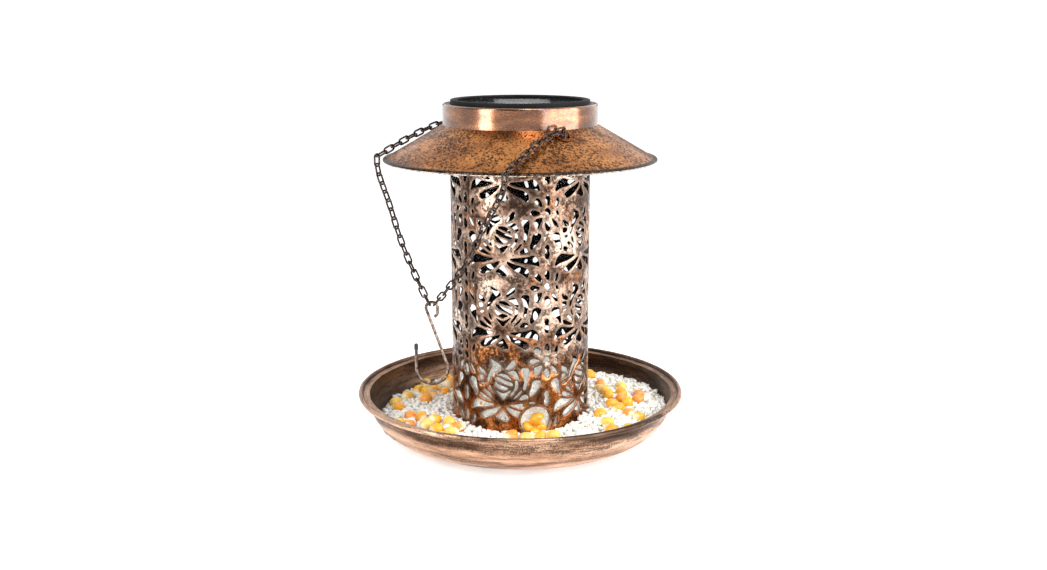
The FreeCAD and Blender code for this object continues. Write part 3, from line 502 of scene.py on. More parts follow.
# ---------------------------------------------------------------- pierced tube
# Openings round one hub of the scroll pattern, millimetres along the skin and up from the hub.
TILE_HOLES = [
    [(4.5, -1.8), (10, -1), (16, -0.4), (20.5, 0.6), (23.6, -2), (25, -6.8), (20, -5.6), (14, -4.8),
     (9, -3.6)],
    [(2.2, -3.2), (8, -5.2), (13, -6.6), (17, -9), (17.6, -12), (16.3, -14.5), (12.5, -11.8),
     (8, -9.5), (4.2, -6.6)],
    [(0.2, -5.6), (2.4, -9), (4, -12.2), (0.4, -13.6), (-2.5, -12), (-5.4, -10.6), (-2.2, -8)],
    [(-2, -3.2), (-8, -5.4), (-13, -7.2), (-17.2, -10.3), (-15, -12.8), (-10.5, -11.2), (-6, -8.4),
     (-3, -5.4)],
    [(-6.5, -1.8), (-13, -1), (-19, 0.3), (-22.8, -2), (-24.6, -7.6), (-20.5, -5.9), (-13.5, -4.6),
     (-8.5, -3)],
    [(-8.2, 0.5), (-13, 1), (-17.3, 2.6), (-17.6, 5.2), (-15.2, 4.6), (-11.5, 2.5)],
    [(-8, 2.9), (-9.5, 5.6), (-13.8, 8.4), (-14.4, 7.2), (-11, 4.2)],
    [(-7.6, 6.6), (-8.6, 9.6), (-9.9, 11.6), (-10.6, 10.4), (-9.4, 7.6)],
    [(-5, 8.2), (0, 6.4), (5.6, 8.8), (2.6, 5.4), (0, 2.4), (-2.6, 5)],
    [(-3.4, 19), (-0.5, 20.2), (3.2, 19), (6, 15.6), (2.5, 16.8), (-0.5, 18)],
    [(-5.2, 17), (-4, 17.8), (1.5, 15.4), (6.3, 13.8), (6, 11.6), (0.5, 13), (-4.2, 15.2)],
    [(-5.7, 14.2), (-2.5, 12.2), (1.5, 11), (3.6, 10), (0.5, 8.6), (-3, 9.4), (-5.3, 11.6)],
    [(-9, 29.8), (-7.8, 25.4), (-9.8, 21), (-11.8, 15.6), (-11, 12.8), (-8.6, 17.6), (-4.8, 21.6),
     (-1.4, 24.2), (-2.8, 27), (-5.4, 28.2)],
    [(1.7, 23.3), (4.2, 26.8), (7.4, 30.2), (8.4, 28.6), (7.8, 25.8), (4.6, 23.4)],
    [(3.4, 21), (7.6, 22.6), (9.6, 20.6), (10.9, 16.6), (9.2, 16.4), (7, 18.8)],
    [(8.6, 15.6), (10, 15), (10.2, 11), (8.2, 7.6), (5.2, 4.4), (5.6, 6.4), (8, 10)],
    [(12.5, 23.5), (15.2, 24.6), (18, 23.4), (17.6, 17.6), (15.6, 10), (13.8, 9.8), (14.6, 15),
     (13.8, 19.6)],
    [(7.2, 2.6), (9.6, 5.8), (12, 8.4), (13.2, 8.4), (10.4, 4.6)],
    [(11.2, 2.2), (13.4, 5.2), (16.2, 5.4), (17.4, 3.4), (14.6, 2.2)],
    [(20, 14), (22, 15.4), (25.4, 15), (26.2, 12.4), (23.6, 8.6), (20.4, 5), (18.7, 4.4),
     (18.2, 7.2), (19.4, 10.6)],
    [(30.3, 7.6), (32.2, 5.8), (31.6, 3.4), (32.4, 0.6), (31, -2.6), (29.2, -2), (28.4, 0.6),
     (29.2, 3), (28.4, 5.6)],
    [(-18.5, 23.4), (-13.4, 20.8), (-13.6, 18.4), (-17.6, 19.8)],
    [(-18.3, 17.6), (-14.8, 17.4), (-14.6, 15.2), (-18, 14.4)],
    [(-17.2, 12), (-13.9, 12.6), (-14.6, 11), (-17.4, 10.6)],
    [(-27, 25), (-23.6, 22.4), (-21.8, 19), (-23.6, 18.8), (-26, 21.6)],
    [(-27, 13.2), (-23.8, 15.4), (-20.8, 13.8), (-20.2, 9.6), (-19.1, 5.6), (-20, 2.6),
     (-21.6, 5.6), (-24.4, 8.2), (-26, 10.6)],
    [(18.3, -21.5), (20.5, -19.7), (25.4, -21.5), (22, -23.2), (19.5, -23.1)],
    [(21.3, -14), (23.5, -11.7), (26.2, -14.5), (26.6, -17.5), (24.3, -17)],
    [(28.5, -12.5), (30.5, -9.5), (32.3, -12), (32, -16), (30.5, -17), (29, -14.5)],
    [(35.7, -17.3), (37.5, -12.2), (39.2, -13), (37.8, -17.5)],
    [(28.3, -20.5), (30, -18.5), (32.3, -20), (32.5, -22.5), (30.5, -23)],
    [(36.5, -21), (38.2, -20.8), (39, -23.2), (37.5, -23.4)],
    [(28.5, -28.5), (30.5, -27.2), (32.5, -30), (32.3, -33), (30, -34), (28.8, -31.5)],
    [(21.5, -26.5), (23.5, -25.3), (27, -25), (26, -28.5), (24, -31.5), (21.8, -31)],
]
TILE_COLUMNS = 5
TILE_WIDTH = 2 * math.pi * TUBE_R / TILE_COLUMNS / MM
TILE_HEIGHT = 50.5
HALF_ROUND = TILE_WIDTH * TILE_COLUMNS / 2
FIRST_HUB = (-11.7, 36.0)                 # along the skin from the front, and height
PLAIN_FOOT = 9.0                          # bands without openings
PLAIN_TOP = 207.0
PORT_BAND = 12.4                          # radius of the plain ring round a port
PORT_BORE = 10.9                          # and of the hole in it
LATTICE_STEP = 2.6
OUTLINE_STEP = 1.15
OUTLINE_CLEARANCE = 1.1                   # from an outline to the nearest free point
CURVE_STEPS = 12                          # between two points of an outline
EDGE_INSET = 0.38
EDGE_DROP = 0.42
EDGE_BEND = 0.5                           # how far from an opening the skin bends inwards
EDGE_HIGHLIGHT_REACH = 0.7                          # how far from an opening the painted edge highlight reaches
WALL = 1.0 * MM


def curve_point(p, t):
    """Place on a smooth curve, a share of the way from the second of four points to the third."""
    return 0.5 * (2 * p[1] + (p[2] - p[0]) * t + (2 * p[0] - 5 * p[1] + 4 * p[2] - p[3]) * t * t
                  + (3 * p[1] - p[0] - 3 * p[2] + p[3]) * t ** 3)


def smooth_loop(points):
    """Closed curve through an outline's points, evenly stepped."""
    fine = []
    count = len(points)
    for index in range(count):
        near = [np.array(points[(index + k) % count], float) for k in (-1, 0, 1, 2)]
        fine.extend(curve_point(near, t) for t in np.linspace(0, 1, CURVE_STEPS, endpoint=False))
    fine = np.array(fine + fine[:1])
    run = np.concatenate([[0], np.cumsum(np.linalg.norm(np.diff(fine, axis=0), axis=1))])
    steps = max(8, round(run[-1] / OUTLINE_STEP))
    stops = np.linspace(0, run[-1], steps, endpoint=False)
    loop = np.stack([np.interp(stops, run, fine[:, k]) for k in (0, 1)], axis=1)
    return loop if turning(loop) > 0 else loop[::-1]


def turning(loop):
    """Twice the area inside an outline, above zero if it runs anticlockwise."""
    ahead = np.roll(loop, -1, axis=0)
    return float(np.sum(loop[:, 0] * ahead[:, 1] - ahead[:, 0] * loop[:, 1]))


def widened(loop, distance):
    """The outline moved outwards."""
    ahead = np.roll(loop, -1, axis=0) - np.roll(loop, 1, axis=0)
    ahead /= np.linalg.norm(ahead, axis=1, keepdims=True)
    outward = np.stack([ahead[:, 1], -ahead[:, 0]], axis=1)
    return loop + outward * distance


def port_places():
    """Middle of each seed port along the skin and up."""
    places = []
    for node in ("port_grommet_front", "port_grommet_rear"):
        low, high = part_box(node)
        middle = (low + high) / 2
        azimuth = math.atan2(middle.x, -middle.y)
        places.append((azimuth * TUBE_R / MM, middle.z / MM))
    return places


PORTS = port_places()


def circle_loop(middle, radius):
    """Evenly stepped circle."""
    count = round(2 * math.pi * radius / OUTLINE_STEP)
    turns = [2 * math.pi * i / count for i in range(count)]
    return np.array([(middle[0] + radius * math.cos(turn), middle[1] + radius * math.sin(turn))
                     for turn in turns])


def pattern_loops():
    """Outlines of every opening that fits between the plain bands."""
    tile = [smooth_loop(points) for points in TILE_HOLES]
    loops = []
    for column in range(-3, TILE_COLUMNS - 1):
        for row in range(-1, 5):
            shift = np.array((FIRST_HUB[0] + TILE_WIDTH * column, FIRST_HUB[1] + TILE_HEIGHT * row))
            for loop in tile:
                moved = loop + shift
                middle = moved.mean(axis=0)
                if moved[:, 1].min() > PLAIN_FOOT and moved[:, 1].max() < PLAIN_TOP:
                    if abs(middle[0]) < HALF_ROUND + 20:
                        loops.append(moved)
    return loops


class Sheet:
    """Points, edges and openings of the flat pattern, gathered to be cut into triangles."""

    def __init__(self):
        self.points = []
        self.edges = []
        self.openings = []

    def add_loop(self, loop, as_opening=False):
        first = len(self.points)
        count = len(loop)
        self.points.extend(map(tuple, loop))
        self.edges.extend((first + i, first + (i + 1) % count) for i in range(count))
        if as_opening:
            self.openings.append([first + i for i in range(count)])

    def tree(self):
        """The points so far, ready for a search."""
        tree = kdtree.KDTree(len(self.points))
        for index, point in enumerate(self.points):
            tree.insert((*point, 0), index)
        tree.balance()
        return tree

    def add_lattice(self, low, high, outlines):
        """Free points clear of the outlines, and the sheet's border with its edges."""
        across = round(2 * HALF_ROUND / LATTICE_STEP)
        upward = round((high - low) / LATTICE_STEP)
        border = {}
        for i in range(across + 1):
            for j in range(upward + 1):
                spot = (-HALF_ROUND + 2 * HALF_ROUND * i / across, low + (high - low) * j / upward)
                on_border = i in (0, across) or j in (0, upward)
                if on_border:
                    border[i, j] = len(self.points)
                if on_border or outlines.find((*spot, 0))[2] > OUTLINE_CLEARANCE:
                    self.points.append(spot)
        for j in range(upward):
            for i in (0, across):
                self.edges.append((border[i, j], border[i, j + 1]))
        for i in range(across):
            for j in (0, upward):
                self.edges.append((border[i, j], border[i + 1, j]))


def lattice_tube():
    """The pierced tube, from the flat pattern to the finished wall."""
    low, high = TUBE_LOW.z / MM, TUBE_HIGH.z / MM
    ports = PORTS + [(u - 2 * HALF_ROUND if u > 0 else u + 2 * HALF_ROUND, z) for u, z in PORTS]
    loops = pattern_loops()
    sheet = Sheet()
    for loop in loops:
        sheet.add_loop(loop, as_opening=True)
    for port in ports:
        for radius in (PORT_BORE, PORT_BAND):
            sheet.add_loop(circle_loop(port, radius))
    outlines = sheet.tree()
    for loop in loops:
        sheet.add_loop(widened(loop, EDGE_INSET))
    sheet.add_lattice(low, high, outlines)
    flat, _, triangles, _, _, origins = delaunay_2d_cdt(
        [Vector(p) for p in sheet.points], sheet.edges, sheet.openings, 0, 1e-5, True)
    flat = np.array([tuple(v) for v in flat])
    kept = []
    for triangle, origin in zip(triangles, origins):
        middle = flat[list(triangle)].mean(axis=0)
        if abs(middle[0]) > HALF_ROUND or not low < middle[1] < high:
            continue
        reach = min(math.hypot(middle[0] - u, middle[1] - z) for u, z in ports)
        if reach < PORT_BORE or (origin and reach > PORT_BAND):
            continue
        kept.append(triangle)
    return wrapped_wall(flat, kept)


def wrapped_wall(flat, triangles):
    """Bends the flat pattern round the tube and gives it rounded edges, a back and rims."""
    mesh = bmesh.new()
    made = {}
    for triangle in triangles:
        for index in triangle:
            if index not in made:
                u, z = flat[index]
                azimuth = u * MM / TUBE_R
                made[index] = mesh.verts.new((math.sin(azimuth), -math.cos(azimuth), z * MM))
        try:
            mesh.faces.new([made[index] for index in triangle])
        except ValueError:
            continue
    bmesh.ops.remove_doubles(mesh, verts=mesh.verts, dist=1e-5)
    rim = [v for v in mesh.verts if any(len(e.link_faces) == 1 for e in v.link_edges)]
    tree = kdtree.KDTree(len(rim))
    for number, vert in enumerate(rim):
        tree.insert(skin_place(vert.co), number)
    tree.balance()
    on_rim = set(rim)
    edge_layer = mesh.verts.layers.float.new("edge")
    inside_layer = mesh.verts.layers.float.new("inside")
    for vert in mesh.verts:
        gap = 0.0 if vert in on_rim else tree.find(skin_place(vert.co))[2]
        beside = EDGE_DROP * max(0.0, 1 - gap / EDGE_BEND) ** 2 * 0.5
        outer = TUBE_R - (EDGE_DROP if vert in on_rim else beside) * MM
        # Closeness to an opening: the mask of the painted edge highlight.
        vert[edge_layer] = max(0.0, 1 - gap / EDGE_HIGHLIGHT_REACH)
        vert.co = (vert.co.x * outer, vert.co.y * outer, vert.co.z)
    front = list(mesh.faces)
    rims = [e for e in mesh.edges if len(e.link_faces) == 1]
    copied = bmesh.ops.duplicate(mesh, geom=list(mesh.verts) + list(mesh.edges) + front)
    twin = copied["vert_map"]
    inner = TUBE_R - WALL
    back_faces = [f for f in copied["geom"] if isinstance(f, bmesh.types.BMFace)]
    for vert in [v for v in copied["geom"] if isinstance(v, bmesh.types.BMVert)]:
        flat_length = math.hypot(vert.co.x, vert.co.y)
        vert.co = (vert.co.x / flat_length * inner, vert.co.y / flat_length * inner, vert.co.z)
        # Marks the inner wall for its painted shade.
        vert[inside_layer] = 1.0
    for edge in rims:
        a, b = edge.verts
        mesh.faces.new((a, b, twin[b], twin[a]))
    bmesh.ops.reverse_faces(mesh, faces=back_faces)
    bmesh.ops.recalc_face_normals(mesh, faces=mesh.faces)
    for face in mesh.faces:
        face.smooth = True
    return finished(mesh, "pierced_tube")


def skin_place(direction):
    """A unit direction and height as a place in millimetres, so that gaps measure true."""
    return (direction.x * TUBE_R / MM, direction.y * TUBE_R / MM, direction.z / MM)


def finished(mesh, name):
    """A new object from a mesh under construction."""
    data = bpy.data.meshes.new(name)
    mesh.to_mesh(data)
    mesh.free()
    return new_object(name, data)


# ---------------------------------------------------------------- seed and maize
SEED_HEAP = [(49.7, 18.0), (62.0, 19.5), (78.0, 19.0), (92.0, 17.5), (125.0, 13.0)]
SEED_TILT = math.radians(2.3)             # high on the +X side
PORT_HOLLOW = 4.6                         # how much lower the heap is in front of a port
HOLLOW_END = 104                          # distance from the axis where that hollow ends
HOLLOW_FADE = 40                          # and how long before that it begins to fade
PORT_AZIMUTHS = [math.degrees(u * MM / TUBE_R) for u, _ in PORTS]
PORT_HEIGHTS = [z for _, z in PORTS]
PORT_WAYS = [polar(1, azimuth, 0) for azimuth in PORT_AZIMUTHS]
BASE_R = 57.2                             # the tray's inside at its foot
WALL_R = 108.0                            # and at its lip
WALL_TOP = 31.2                           # height of that lip
BOWL_FULLNESS = 0.66
HEAP_TOP = 30                             # highest that the heap's body comes
HEAP_RINGS = 26
HEAP_STEPS = 180


def seed_level(x, y):
    """Height of the heap in millimetres at a place in millimetres."""
    radius = math.hypot(x, y)
    spots = [r for r, _ in SEED_HEAP]
    heights = [z for _, z in SEED_HEAP]
    ahead = max((x * port[0] + y * port[1]) / radius for port in PORT_WAYS)
    fade = min(max((HOLLOW_END - radius) / HOLLOW_FADE, 0.0), 1.0)
    hollow = PORT_HOLLOW * max(ahead, 0.0) ** 3 * fade
    return float(np.interp(radius, spots, heights)) + math.tan(SEED_TILT) * x - hollow


def bowl_radius(z):
    """Inside radius of the tray at a height, in millimetres."""
    share = min(max(1 - z / WALL_TOP, 0.0), 1.0)
    sine = math.sin(math.acos(share))
    return BASE_R + (WALL_R - BASE_R) * sine ** BOWL_FULLNESS - 1.0


def in_seed_area(x, y, margin):
    """True between the tube and the tray's wall, a margin away from both."""
    radius = math.hypot(x, y)
    return TUBE_R / MM + margin < radius < bowl_radius(seed_level(x, y)) - margin


class Grains:
    """Many small shapes gathered in one mesh, with a tone and a place along each shape."""

    def __init__(self, shape):
        self.points, self.faces, self.along = shape
        self.all_points = []
        self.all_tones = []

    def add(self, middle, size, turn, tone):
        matrix = np.array(turn.to_matrix())
        points = (self.points * np.array(size)) @ matrix.T + np.array(middle)
        self.all_points.append(points * MM)
        self.all_tones.append(tone)

    def press_into_bowl(self):
        """Moves points that would stand through the tray's wall back to its inside."""
        for points in self.all_points:
            for point in points:
                radius = math.hypot(point[0], point[1])
                limit = (bowl_radius(point[2] / MM) - 0.1) * MM
                if radius > limit:
                    point[:2] *= limit / radius

    def piece(self, name):
        count = len(self.points)
        faces = []
        for index in range(len(self.all_points)):
            faces.extend([tuple(v + index * count for v in face) for face in self.faces])
        data = bpy.data.meshes.new(name)
        data.from_pydata(np.concatenate(self.all_points).tolist(), [], faces)
        values = {"tone": np.repeat(self.all_tones, count),
                  "along": np.tile(self.along, len(self.all_points))}
        for key, numbers in values.items():
            layer = data.attributes.new(key, "FLOAT", "POINT")
            layer.data.foreach_set("value", numbers.astype(np.float32))
        data.polygons.foreach_set("use_smooth", [True] * len(data.polygons))
        return new_object(name, data)


def grain_shape():
    """Small chipped grain: a coarse ball with its corners pushed about."""
    mesh = bmesh.new()
    bmesh.ops.create_icosphere(mesh, subdivisions=1, radius=1.0)
    dice = random.Random(5)
    points = np.array([v.co * dice.uniform(0.85, 1.12) for v in mesh.verts])
    faces = [tuple(v.index for v in f.verts) for f in mesh.faces]
    mesh.free()
    return points, faces, (points[:, 0] + 1) / 2


def kernel_shape():
    """Maize kernel: broad rounded crown with a dent, narrow flat tip, long axis along X."""
    mesh = bmesh.new()
    bmesh.ops.create_uvsphere(mesh, u_segments=14, v_segments=10, radius=1.0)
    points = []
    for vert in mesh.verts:
        x, y, z = vert.co.z, vert.co.x, vert.co.y
        width = 0.62 + 0.38 * math.sin(min(max((x + 1) / 2, 0), 1) * math.pi / 2) ** 1.2
        square = (abs(y) ** 2.6 + abs(z) ** 2.6) ** (1 / 2.6)
        round_to = math.hypot(y, z)
        fuller = round_to / square if square > 0.01 else 1.0
        dent = 0.16 * max(0.0, x - 0.55) * (1 - min(1, abs(y) * 2))
        points.append((x - dent, y * width * fuller, z * (0.8 + 0.2 * width) * fuller))
    faces = [tuple(v.index for v in f.verts) for f in mesh.faces]
    mesh.free()
    points = np.array(points)
    return points, faces, (points[:, 0] + 1) / 2


def loose_turn(dice, tumble):
    """Random heading with a limited tumble."""
    heading = Matrix.Rotation(dice.uniform(0, 2 * math.pi), 3, "Z")
    pitch = Matrix.Rotation(math.radians(dice.uniform(-tumble, tumble)), 3, "Y")
    roll = Matrix.Rotation(math.radians(dice.uniform(-tumble, tumble)), 3, "X")
    return (heading @ pitch @ roll).to_quaternion()


GRAIN_COUNT = 5200
# Least and most half length, width and thickness in millimetres.
TRAY_GRAIN = ((1.5, 3.0), (1.2, 2.0), (1.0, 1.6))
TRAY_KERNEL = ((4.9, 5.8), (4.3, 5.0), (3.5, 4.3))
WALL_GRAIN = ((1.5, 2.6), (1.1, 1.8), (0.8, 1.2))
TOP_GRAIN = ((1.2, 2.0), (0.9, 1.4), (0.7, 1.0))


def drawn_size(dice, ranges):
    """Random size, drawn in the order length, width, thickness."""
    return tuple(dice.uniform(least, most) for least, most in ranges)


def tray_grains():
    """White crushed grain, thickest where the heap's surface is."""
    dice = random.Random(11)
    grains = Grains(grain_shape())
    while len(grains.all_points) < GRAIN_COUNT:
        radius = math.sqrt(dice.uniform((TUBE_R / MM) ** 2, WALL_R ** 2))
        spot = polar(radius, dice.uniform(0, 360), 0)
        if not in_seed_area(spot.x, spot.y, 0.9):
            continue
        level = seed_level(spot.x, spot.y) + dice.uniform(-1.1, 1.2) + heap_swell(spot.x, spot.y)
        size = drawn_size(dice, TRAY_GRAIN)
        grains.add((spot.x, spot.y, level), size, loose_turn(dice, 35), dice.random())
    grains.press_into_bowl()
    return grains.piece("tray_grains")


def heap_swell(x, y):
    """Small rises and hollows of the heap, in millimetres."""
    broad = 0.8 * math.sin(x * 0.11 + 1.3) * math.sin(y * 0.13 + 0.4)
    return broad + 0.5 * math.sin(x * 0.31 - y * 0.23)


# Where the kernels lie in the tray: azimuths, distances from the axis, and how many.
KERNEL_GROUPS = [
    ((-8, 20), (56, 70), 5),              # in front of the port
    ((-60, -38), (62, 82), 6),
    ((-130, -62), (62, 96), 10),
    ((45, 125), (60, 96), 18),
    ((130, 265), (56, 96), 27)]           # behind the tube
KERNEL_GAP = 9                            # least distance between two of them


def kernel_spots(dice):
    """Places of the tray's kernels, drawn group by group."""
    spots = []
    for azimuths, distances, count in KERNEL_GROUPS:
        wanted = len(spots) + count
        while len(spots) < wanted:
            spot = polar(dice.uniform(*distances), dice.uniform(*azimuths), 0)
            apart = all((spot - other).length > KERNEL_GAP for other in spots)
            if apart and in_seed_area(spot.x, spot.y, 6):
                spots.append(spot)
    return spots


def tray_kernels():
    """Yellow and orange maize kernels half sunk in the heap."""
    dice = random.Random(23)
    kernels = Grains(kernel_shape())
    for spot in kernel_spots(dice):
        size = drawn_size(dice, TRAY_KERNEL)
        level = seed_level(spot.x, spot.y) + heap_swell(spot.x, spot.y) + dice.uniform(1.4, 2.6)
        kernels.add((spot.x, spot.y, level), size, loose_turn(dice, 22), dice.random())
    kernels.press_into_bowl()
    return kernels.piece("tray_kernels")


def skin_rings(mesh, rings, face_up=False):
    """Smooth faces between closed rings of points, facing outwards or upwards."""
    for low_ring, high_ring in zip(rings, rings[1:]):
        for j in range(len(low_ring)):
            k = (j + 1) % len(low_ring)
            corners = [low_ring[j], low_ring[k], high_ring[k], high_ring[j]]
            if face_up:
                corners[1], corners[3] = corners[3], corners[1]
            mesh.faces.new(corners).smooth = True


def heap_base():
    """The heap under the loose grain, rough enough to pass for grain in its gaps."""
    mesh = bmesh.new()
    rings = []
    for i in range(HEAP_RINGS + 1):
        ring = []
        for j in range(HEAP_STEPS):
            azimuth = 360 * j / HEAP_STEPS
            inner = TUBE_R / MM + 0.15
            probe = polar(80, azimuth, 0)
            outer = bowl_radius(seed_level(probe.x * 1.2, probe.y * 1.2)) - 0.15
            radius = inner + (outer - inner) * i / HEAP_RINGS
            spot = polar(radius, azimuth, 0)
            level = min(seed_level(spot.x, spot.y), HEAP_TOP) + heap_swell(spot.x, spot.y) - 1.1
            ring.append(mesh.verts.new((spot.x * MM, spot.y * MM, level * MM)))
        rings.append(ring)
    skin_rings(mesh, rings, face_up=True)
    return finished(mesh, "seed_heap")


FILL_TOP = 47.0
FILL_DOME = 5                             # how much higher the filling is in the middle
FILL_LEVELS = 18
FILL_STEPS = 120
FUNNEL_DEPTH = 7                          # how far the filling slopes back in a port
LINER_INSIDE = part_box("tube_seed_fill")[1].x / MM
WALL_GRAIN_COUNT = 4300
TOP_GRAIN_COUNT = 2200
WALL_KERNEL_COUNT = 60
WALL_KERNEL = (4.8, 3.8, 2.2)
PORT_KERNEL = (5.2, 4.4, 2.9)
# Kernels in each port: degrees to the side of its middle and millimetres above it.
PORT_KERNEL_PLACES = ((-5.5, -5), (4.5, -6.5), (0, -1.0), (-1, -8), (1.5, 1.5))


def behind_port(spot):
    """True for a place in the filling that lies in the hollow behind a port."""
    for height, outward in zip(PORT_HEIGHTS, PORT_WAYS):
        along = spot.x * outward.x + spot.y * outward.y
        side = spot.x * -outward.y + spot.y * outward.x
        near = math.hypot(side, spot.z - height) < 10.2 and along > LINER_INSIDE - 8
        if near and spot.z > height - 2:
            return True
    return False


def fill_base():
    """Body of the seed in the tube, behind the loose grain."""
    mesh = bmesh.new()
    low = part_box("tube_seed_fill")[0].z / MM
    radius = LINER_INSIDE - 1.2
    rings = []
    for i in range(FILL_LEVELS + 1):
        ring = []
        for j in range(FILL_STEPS):
            azimuth = 360 * j / FILL_STEPS
            z = low + (FILL_TOP - low) * i / FILL_LEVELS
            spot = polar(radius, azimuth, z)
            for port, height in zip(PORT_AZIMUTHS, PORT_HEIGHTS):
                turn = (azimuth - port + 180) % 360 - 180
                side = math.radians(turn) * radius
                if math.hypot(side, z - height) < 11:
                    back = FUNNEL_DEPTH * max(0.0, (z - height + 7) / 12)
                    spot = polar(radius - back, azimuth, z)
            ring.append(mesh.verts.new(spot * MM))
        rings.append(ring)
    skin_rings(mesh, rings)
    top = mesh.verts.new((0, 0, (FILL_TOP + FILL_DOME) * MM))
    last = rings[-1]
    for j in range(FILL_STEPS):
        mesh.faces.new((last[j], last[(j + 1) % FILL_STEPS], top)).smooth = True
    return finished(mesh, "tube_fill")


def fill_grains():
    """Loose grain against the clear sleeve, on top of the filling and in the ports."""
    dice = random.Random(31)
    grains = Grains(grain_shape())
    kernels = Grains(kernel_shape())
    for _ in range(WALL_GRAIN_COUNT):
        azimuth = dice.uniform(0, 360)
        z = dice.uniform(10, FILL_TOP)
        spot = polar(LINER_INSIDE - 1.3, azimuth, z)
        if behind_port(spot):
            inward = 1 - FUNNEL_DEPTH * max(0.0, (z - 16) / 12) / LINER_INSIDE
            spot = Vector((spot.x * inward, spot.y * inward, z))
        size = drawn_size(dice, WALL_GRAIN)
        grains.add(spot, size, loose_turn(dice, 90), dice.random())
    for _ in range(TOP_GRAIN_COUNT):
        radius = math.sqrt(dice.uniform(0, (LINER_INSIDE - 1.5) ** 2))
        z = FILL_TOP + FILL_DOME * (1 - radius / LINER_INSIDE) + dice.uniform(-0.6, 0.8)
        spot = polar(radius, dice.uniform(0, 360), z)
        size = drawn_size(dice, TOP_GRAIN)
        grains.add(spot, size, loose_turn(dice, 35), dice.random())
    for _ in range(WALL_KERNEL_COUNT):
        azimuth = dice.uniform(0, 360)
        spot = polar(LINER_INSIDE - 2.6, azimuth, dice.uniform(14, FILL_TOP - 2))
        if behind_port(spot):
            continue
        turn = Matrix.Rotation(math.radians(azimuth), 3, "Z").to_quaternion()
        tilt = Matrix.Rotation(dice.uniform(0, 3.1), 3, "Y").to_quaternion()
        flat = Matrix.Rotation(math.radians(90), 3, "X").to_quaternion()
        kernels.add(spot, WALL_KERNEL, turn @ tilt @ flat, dice.random())
    for aside, above in PORT_KERNEL_PLACES:
        for azimuth, height in zip(PORT_AZIMUTHS, PORT_HEIGHTS):
            spot = polar(LINER_INSIDE + 0.3, azimuth + aside, height + above)
            kernels.add(spot, PORT_KERNEL, loose_turn(dice, 40), dice.uniform(0.3, 1.0))
    return grains.piece("fill_grains"), kernels.piece("fill_kernels")


def grain_look(name, glow):
    """Chalky white grain with cream and grey ones; a glow stands in for light let through."""
    look = Look(name, {"Roughness": 0.7, "Subsurface Weight": 0.15,
                       "Subsurface Radius": (0.002, 0.0015, 0.001),
                       "Emission Color": (1.0, 0.97, 0.9, 1), "Emission Strength": glow})
    place = look.object_space()
    tone = look.attribute("tone")
    shade = look.ramp(tone, [(0.0, (0.70, 0.69, 0.62)), (0.2, (0.90, 0.89, 0.85)),
                             (0.8, (0.97, 0.97, 0.95)), (1.0, (0.86, 0.80, 0.64))])
    chalk = look.noise(place, 1500, 3, 0.6)
    look.colour(look.mix(look.scaled(chalk, 0.22), shade, (0.60, 0.57, 0.48)))
    look.bump(chalk, 0.00025, 0.8)
    return look


def kernel_look():
    """Glossy yellow to orange kernel with a floury white tip."""
    look = Look("maize_kernel", {"Roughness": 0.28, "Subsurface Weight": 0.2,
                                 "Subsurface Radius": (0.004, 0.002, 0.0008)})
    tone = look.attribute("tone")
    along = look.attribute("along")
    skin = look.ramp(tone, [(0.0, (0.86, 0.30, 0.08)), (0.22, (0.88, 0.38, 0.03)),
                            (0.70, (0.88, 0.47, 0.03)), (1.0, (0.90, 0.62, 0.16))])
    blotch = look.noise(look.object_space(), 330, 3, 0.6)
    edge = look.math("ADD", along, look.centred(blotch, 0.35))
    tip = look.ramp(edge, [(0.10, 1.0), (0.32, 0.0)])
    look.colour(look.mix(tip, skin, (0.90, 0.80, 0.55)))
    look.roughness(look.ramp(edge, [(0.2, 0.6), (0.5, 0.25)]))
    look.bump(blotch, 0.0002, 0.5)
    return look


# ---------------------------------------------------------------- putting it together
def place(piece, body, slot, look, *nodes):
    """Dresses a new piece, hangs it on its body and lets it stand for CAD nodes."""
    dress(piece, look)
    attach(piece, body)
    if nodes:
        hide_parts(*nodes)


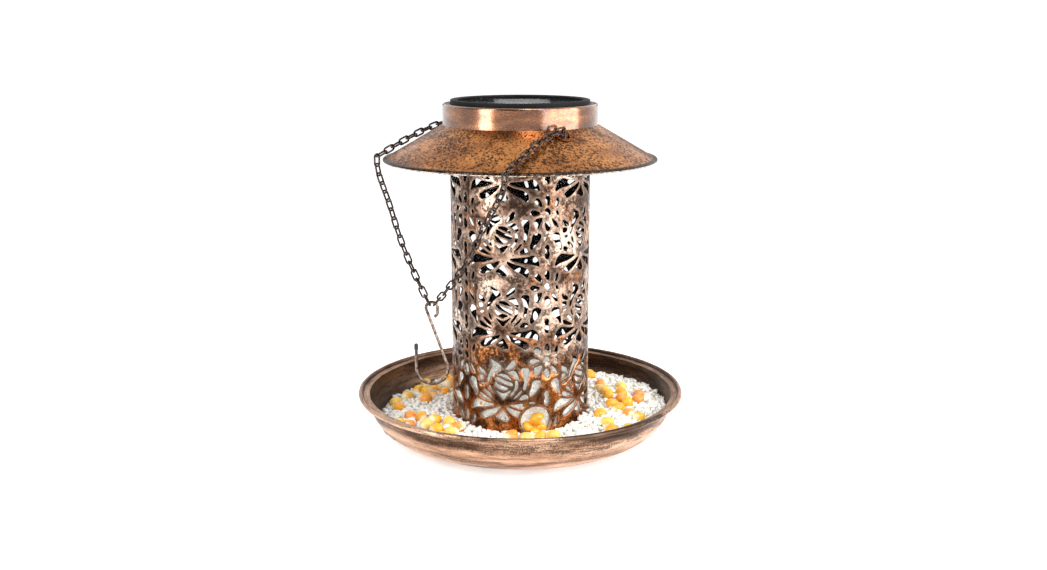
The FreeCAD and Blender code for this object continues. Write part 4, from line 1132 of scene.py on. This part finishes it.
def main():
    """Sets the stage, dresses the CAD nodes and adds the finer pieces."""
    bpy.context.scene.view_settings.view_transform = "Standard"
    make_camera()
    make_lights()
    make_floor()
    make_flags()
    looks = {
        "tray_copper": tray_look(), "lattice_copper": lattice_look(),
        "roof_copper": roof_look("speckled_copper", CONE),
        "dark_bronze": bronze_look("dark_bronze", -0.035), "zinc_steel": steel_look(),
        "clear_plastic": clear_look("clear_plastic", 0.05),
        "frosted_plastic": plastic_look("frosted_plastic", (0.78, 0.78, 0.75), 0.45),
        "white_seed": grain_look("white_grain", 0.0),
        "black_plastic": plastic_look("black_plastic", (0.004, 0.004, 0.0045), 0.55, 0.14),
        "rubber_black": plastic_look("rubber_black", (0.014, 0.016, 0.012), 0.6),
        "panel_backing": plastic_look("panel_backing", (0.015, 0.017, 0.025), 0.4),
        "solar_cell": cell_look(),
        "circuit_green": plastic_look("circuit_green", (0.02, 0.13, 0.05), 0.35),
        "battery_sleeve": plastic_look("battery_sleeve", (0.05, 0.22, 0.10), 0.3)}
    slots = {part["node"]: part["material_slot"] for part in frame["record"]["subparts"]}
    for name, node in frame["nodes"].items():
        dress(node, looks[slots[name]])
    dress(frame["nodes"]["panel_window"], clear_look("panel_window_clear", 0.35))
    # The hook's higher lift gives it more painted highlight.
    dress(frame["nodes"]["hanging_hook"], bronze_look("hook_bronze", 0.07))
    dress(frame["nodes"]["roof_collar"], roof_look("lacquered_copper", COLLAR))
    for name in ("port_grommet_front", "port_grommet_rear"):
        dress(frame["nodes"][name], looks["tray_copper"])

    kernels = kernel_look()
    place(lattice_tube(), "feeder", "lattice_copper", looks["lattice_copper"], "lattice_tube")
    place(tray_grains(), "feeder", "white_seed", looks["white_seed"], "tray_seed_bed")
    place(heap_base(), "feeder", "white_seed", looks["white_seed"])
    place(tray_kernels(), "feeder", "white_seed", kernels)
    loose, maize = fill_grains()
    filling = grain_look("white_grain_in_tube", 0.26)
    place(loose, "feeder", "white_seed", filling, "tube_seed_fill")
    place(maize, "feeder", "white_seed", kernels)
    place(fill_base(), "feeder", "white_seed", filling)


main()
